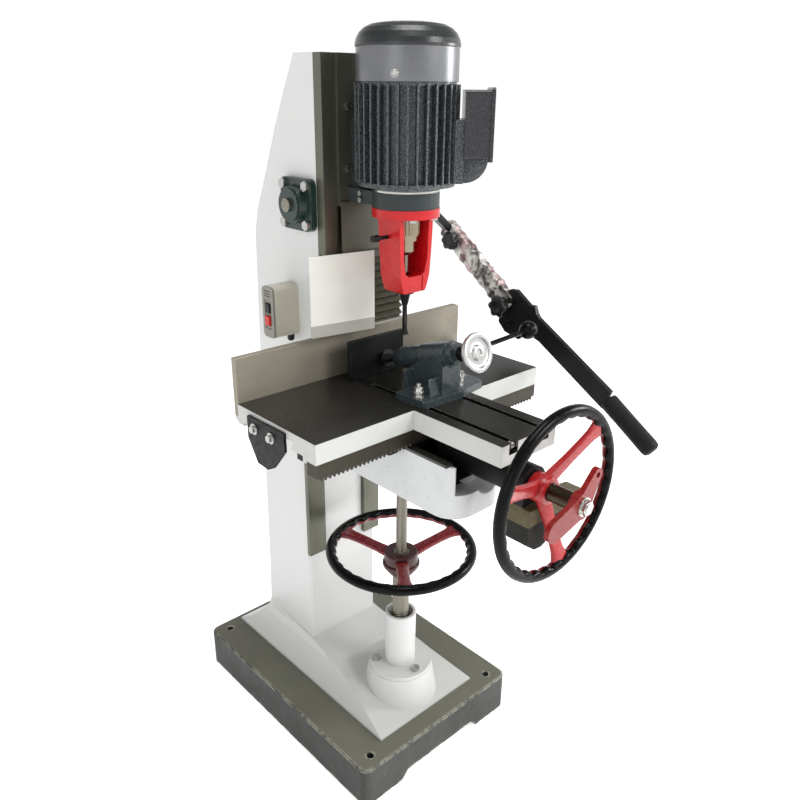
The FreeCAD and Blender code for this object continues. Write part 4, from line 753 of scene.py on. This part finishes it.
# ------------------------------------------------------------------ plated sleeve under its film
def wrapped_sleeve():
    rng = random.Random(11)
    u = Vector((0, -187, -137)).normalized()
    w = Vector((0, u.z, -u.y)) * -1
    o0 = Vector((0.329, 0.037, 1.083)) - u * 0.0095
    x = Vector((1, 0, 0))
    waves = [(rng.uniform(14, 60), rng.randint(1, 5) * rng.choice((-1, 1)), rng.uniform(0, 6.28), rng.uniform(0.25, 0.7)) for _ in range(14)]
    n, segs, length = 150, 64, 0.2545
    bm = bmesh.new()
    rows = []
    for i in range(n + 1):
        s = length * i / n
        band = 0.0
        for c, h, v in ((0.031, 0.004, 0.0022), (0.088, 0.006, 0.0026), (0.118, 0.008, 0.0030), (0.160, 0.005, 0.0018), (0.199, 0.006, 0.0026)):
            band += v * math.exp(-((s - c) / h) ** 2)
        end = min(1.0, min(s, length - s) / 0.006)
        row = []
        for k in range(segs):
            a = 2 * math.pi * k / segs
            ca, sa = math.cos(a), math.sin(a)
            e = 2.0 / 4.2
            px = math.copysign(abs(ca) ** e, ca)
            pw = math.copysign(abs(sa) ** e, sa)
            d = 0.0
            for fs, fa, ph, am in waves:
                d += am * (1 - 2 * abs(math.sin(0.5 * (fs * s * 6.28 + fa * a + ph))))
            d = 0.00042 * d + band
            grow = max(0.0, 0.62 + 0.38 * end)
            row.append(bm.verts.new(o0 + u * s + x * (px * (0.0120 + min(0.0016, d * 0.6)) * grow) + w * (pw * (0.0242 + d) * grow)))
        rows.append(row)
    for p, q in zip(rows, rows[1:]):
        for k in range(segs):
            bm.faces.new((p[k], p[(k + 1) % segs], q[(k + 1) % segs], q[k]))
    bm.faces.new(list(reversed(rows[0])))
    bm.faces.new(rows[-1])
    bmesh.ops.recalc_face_normals(bm, faces=bm.faces)
    if "lever_sleeve" in NODES:
        obj("wrapped_sleeve", bm, "sleeve", smooth=30, body="lever", replaces="lever_sleeve")


wrapped_sleeve()

# ------------------------------------------------------------------ small trim
bm = bmesh.new()
add_box(bm, (-0.0955, -0.0665, 0.9362), (0.0955, -0.0440, 0.9410))
bmesh.ops.recalc_face_normals(bm, faces=bm.faces)
obj("cover_foot_strip", bm, "strip", smooth=30, body="frame", bevel=0.0006)

bm = bmesh.new()
add_lathe(bm, [(0.048, 1.2121), (0.0598, 1.2121), (0.0604, 1.2127), (0.0604, 1.2156), (0.048, 1.2156)], 72, Matrix.Translation((0, -0.172, 0)), closed=True)
bmesh.ops.recalc_face_normals(bm, faces=bm.faces)
obj("motor_register_ring", bm, "bright", smooth=30, body="head")

bm = bmesh.new()
for deg in (213.2, 333.2, 93.2):
    a = math.radians(deg)
    T = frame_at((0.0870 * math.cos(a), -0.172 + 0.0870 * math.sin(a), 1.4020), (math.cos(a), math.sin(a), 0), (0, 0, 1))
    add_lathe(bm, [(0.0, -0.0012), (0.0062, -0.0012), (0.0064, 0.0006), (0.0048, 0.0009), (0.0047, 0.0022), (0.0038, 0.0034), (0.0020, 0.0038), (0.0016, 0.0026), (0.0, 0.0025)], 28, T)
bmesh.ops.recalc_face_normals(bm, faces=bm.faces)
obj("fan_cover_screws", bm, "zinc", smooth=35, body="head")

GA = Matrix.Translation((0, -0.172, 0)) @ Matrix.Rotation(math.radians(-43), 4, "Z") @ Matrix(((1, 0, 0, 0), (0, 0, -1, 0), (0, 1, 0, 0), (0, 0, 0, 1)))
bm = bmesh.new()
pts = [(0.096, 1.226), (0.101, 1.2262)]
for k in range(9):
    a = math.radians(-84 + 84 * k / 8)
    pts.append((0.101 + 0.041 * math.cos(a) * 1.0, 1.2672 + 0.041 * math.sin(a)))
pts += [(0.096, 1.2672)]
add_prism(bm, pts, -0.011, 0.011, GA)
bmesh.ops.recalc_face_normals(bm, faces=bm.faces)
obj("terminal_box_web", bm, "motor", smooth=30, body="head", bevel=0.0018, segs=3)

bm = bmesh.new()
GL = frame_at((-0.110, 0.046, 0.918), (0, 0, -1), (1, 0, 0))
add_prism(bm, [(0.0082 * math.cos(math.radians(60 * k)), 0.0082 * math.sin(math.radians(60 * k))) for k in range(6)], -0.0004, 0.0045, GL)
add_lathe(bm, [(0.0, 0.0046), (0.0070, 0.0046), (0.0072, 0.0052), (0.0070, 0.0105), (0.0052, 0.0128), (0.0034, 0.0130), (0.0030, 0.0100), (0.0, 0.0098)], 28, GL)
bmesh.ops.recalc_face_normals(bm, faces=bm.faces)
obj("switch_box_gland", bm, "key_black", smooth=35, body="frame", bevel=0.0004)

bm = bmesh.new()
SE = frame_at((-0.037, -0.4690, 0.8325), (0, -1, 0), (1, 0, 0))
add_lathe(bm, [(0.0, 0.0), (0.0052, 0.0), (0.0055, 0.0004), (0.0055, 0.0080), (0.0048, 0.0088), (0.0030, 0.0088), (0.0026, 0.0060), (0.0, 0.0058)], 28, SE)
bmesh.ops.recalc_face_normals(bm, faces=bm.faces)
obj("slot_end_stop", bm, "zinc", smooth=35, body="table")

# bolts in the clamp head of the hand lever
bm = bmesh.new()
for (yy, zz) in ((-0.166, 0.955), (-0.163, 0.905), (-0.214, 0.918)):
    T = frame_at((0.3240, yy, zz), (-1, 0, 0), (0, 1, 0))
    add_lathe(bm, [(0.0, 0.0), (0.0090, 0.0), (0.0092, 0.0004), (0.0092, 0.0014), (0.0086, 0.0017), (0.0060, 0.0017), (0.0060, 0.0062), (0.0052, 0.0070), (0.0032, 0.0070), (0.0030, 0.0040), (0.0, 0.0039)], 28, T)
bmesh.ops.recalc_face_normals(bm, faces=bm.faces)
obj("clamp_head_bolts", bm, "screws", smooth=35, body="lever")

# studs and nuts that hold the vise down
bm = bmesh.new()
for (xx, yy) in ((-0.038, -0.252), (0.063, -0.258)):
    T = Matrix.Translation((xx, yy, 0.8606))
    add_lathe(bm, [(0.0, 0.0), (0.0102, 0.0), (0.0105, 0.0003), (0.0105, 0.0017), (0.0102, 0.0020), (0.0, 0.0020)], 32, T)
    add_prism(bm, [(0.0094 * math.cos(math.radians(60 * k + 15)), 0.0094 * math.sin(math.radians(60 * k + 15))) for k in range(6)], 0.0021, 0.0104, T)
    add_lathe(bm, [(0.0, 0.0105), (0.0049, 0.0105), (0.0049, 0.0168), (0.0040, 0.0178), (0.0, 0.0178)], 28, T)
bmesh.ops.recalc_face_normals(bm, faces=bm.faces)
obj("vise_studs", bm, "zinc", smooth=35, body="table", bevel=0.0004)

# ------------------------------------------------------------------ vise
T0 = math.radians(16.5)
VAX = Vector((0, -math.cos(T0), math.sin(T0)))
VP = Vector((0.032, -0.123, 0.880))
VW = frame_at(VP + VAX * 0.210, VAX, (1, 0, 0))
bm = bmesh.new()
add_lathe(bm, [(0.0, -0.007), (0.0115, -0.007), (0.013, -0.0055), (0.013, 0.0), (0.0345, 0.0), (0.0365, 0.0012), (0.037, 0.003), (0.037, 0.0075), (0.0362, 0.0092),
               (0.0345, 0.010), (0.030, 0.010), (0.0283, 0.0092), (0.0272, 0.0060), (0.025, 0.0052), (0.0165, 0.0052), (0.0150, 0.0058), (0.0142, 0.0092),
               (0.0132, 0.0104), (0.012, 0.011), (0.007, 0.011), (0.006, 0.0100), (0.0058, 0.0085), (0.0, 0.0085)], 64, VW)
bmesh.ops.recalc_face_normals(bm, faces=bm.faces)
obj("vise_chrome_wheel", bm, "chrome", smooth=35, body="vise_wheel", replaces="vise_handwheel")
bm = bmesh.new()
VS = frame_at(VP, VAX, (1, 0, 0))
thread(bm, 0.005, 0.042, 0.204, 0.003, 0.0006, VS, 24, 6)
bmesh.ops.recalc_face_normals(bm, faces=bm.faces)
obj("vise_wheel_screw", bm, "steel", smooth=50, body="vise_wheel")

c0 = VP + VAX * 0.182
c1 = Vector((0.213, -0.3005, 0.941))
bm = bmesh.new()
add_lathe(bm, [(0.0054, -0.007), (0.0135, -0.007), (0.015, -0.0055), (0.015, 0.0055), (0.0135, 0.007), (0.0054, 0.007)], 40, frame_at(c0, VAX, (1, 0, 0)), closed=True)
rod = c1 - c0
RT = frame_at(c0, rod, (0, 0, 1))
add_lathe(bm, [(0.0, 0.012), (0.0046, 0.012), (0.0046, rod.length - 0.017), (0.006, rod.length - 0.0165), (0.0, rod.length - 0.0164)], 24, RT)
prof = []
for k in range(19):
    a = -math.pi / 2 + math.pi * k / 18
    prof.append((max(0.0, 0.018 * math.cos(a)) if 0 < k < 18 else 0.0, rod.length + 0.018 * math.sin(a)))
add_lathe(bm, prof, 40, RT)
bmesh.ops.recalc_face_normals(bm, faces=bm.faces)
obj("ball_lever", bm, "gloss_black", smooth=45, body="ball_lever", replaces="vise_ball_lever")

# ------------------------------------------------------------------ stage
bm = bmesh.new()
bmesh.ops.create_grid(bm, x_segments=2, y_segments=2, size=40)
floor = obj("floor", bm, "white")
fm = Mat("studio_floor")
tone = fm.mix(fm.mapr(fm.noise(2, 2), 0.3, 0.7, 0, 0.02), (0.88, 0.88, 0.88), (0.85, 0.85, 0.85))
fm.set(color=tone, rough=0.9)
fm.b.inputs["Specular IOR Level"].default_value = 0.0
fm.b.inputs["Emission Color"].default_value = (1, 1, 1, 1)
fm.b.inputs["Emission Strength"].default_value = 0.72
floor.data.materials.clear()
floor.data.materials.append(fm.m)
floor.location.z = -0.0005

# studio: white walls all round up to a dimmer ceiling
world = bpy.data.worlds.new("studio")
bpy.context.scene.world = world
world.use_nodes = True
wt = world.node_tree
bg = wt.nodes["Background"]
bg.inputs["Strength"].default_value = 1.0
wc = wt.nodes.new("ShaderNodeTexCoord")
ws = wt.nodes.new("ShaderNodeSeparateXYZ")
wt.links.new(wc.outputs["Generated"], ws.inputs[0])
wr = wt.nodes.new("ShaderNodeMapRange")
for k, v in zip(("From Min", "From Max", "To Min", "To Max"), (0.22, 0.5, 1.02, 0.28)):
    wr.inputs[k].default_value = v
wt.links.new(ws.outputs["Z"], wr.inputs["Value"])
wm = wt.nodes.new("ShaderNodeMix")
wm.data_type = "RGBA"
wm.clamp_factor = False
wm.inputs[6].default_value = (0, 0, 0, 1)
wm.inputs[7].default_value = (0.99, 0.995, 1.0, 1)
wt.links.new(wr.outputs["Result"], wm.inputs[0])
wt.links.new(wm.outputs[2], bg.inputs["Color"])


def area(name, loc, target, size, power, color=(1, 1, 1)):
    l = bpy.data.lights.new(name, "AREA")
    l.energy = power
    l.size = size
    l.color = color
    o = bpy.data.objects.new(name, l)
    o.location = loc
    d = Vector(target) - Vector(loc)
    o.rotation_euler = d.to_track_quat("-Z", "Y").to_euler()
    bpy.context.scene.collection.objects.link(o)
    return o


area("key", (1.1, -3.0, 2.6), (0, 0, 0.8), 1.2, 54)
area("right", (2.6, -1.5, 1.7), (0, -0.1, 1.2), 0.7, 34)
area("fill", (-3.0, -1.2, 2.2), (0, 0, 0.7), 1.6, 15)
area("top", (0.0, -0.4, 3.4), (0, -0.1, 0.8), 1.4, 38)

# ------------------------------------------------------------------ camera
cam = bpy.data.cameras.new("camera")
cam.sensor_width = 36.0
cam.sensor_fit = "HORIZONTAL"
cam.lens = 773.5 / 800 * 36.0
co = bpy.data.objects.new("camera", cam)
bpy.context.scene.collection.objects.link(co)
bpy.context.scene.camera = co
az, pitch, roll = math.radians(42.87), math.radians(22.07), math.radians(0.56)
fwd = Vector((math.sin(az) * math.cos(pitch), math.cos(az) * math.cos(pitch), -math.sin(pitch)))
right = Vector((math.cos(az), -math.sin(az), 0))
up = right.cross(fwd)
r2 = right * math.cos(roll) + up * math.sin(roll)
u2 = -right * math.sin(roll) + up * math.cos(roll)
rot = Matrix((r2, u2, -fwd)).transposed()
co.matrix_world = Matrix.Translation((-0.966, -1.202, 1.383)) @ rot.to_4x4()

bpy.context.scene.view_settings.view_transform = "Standard"
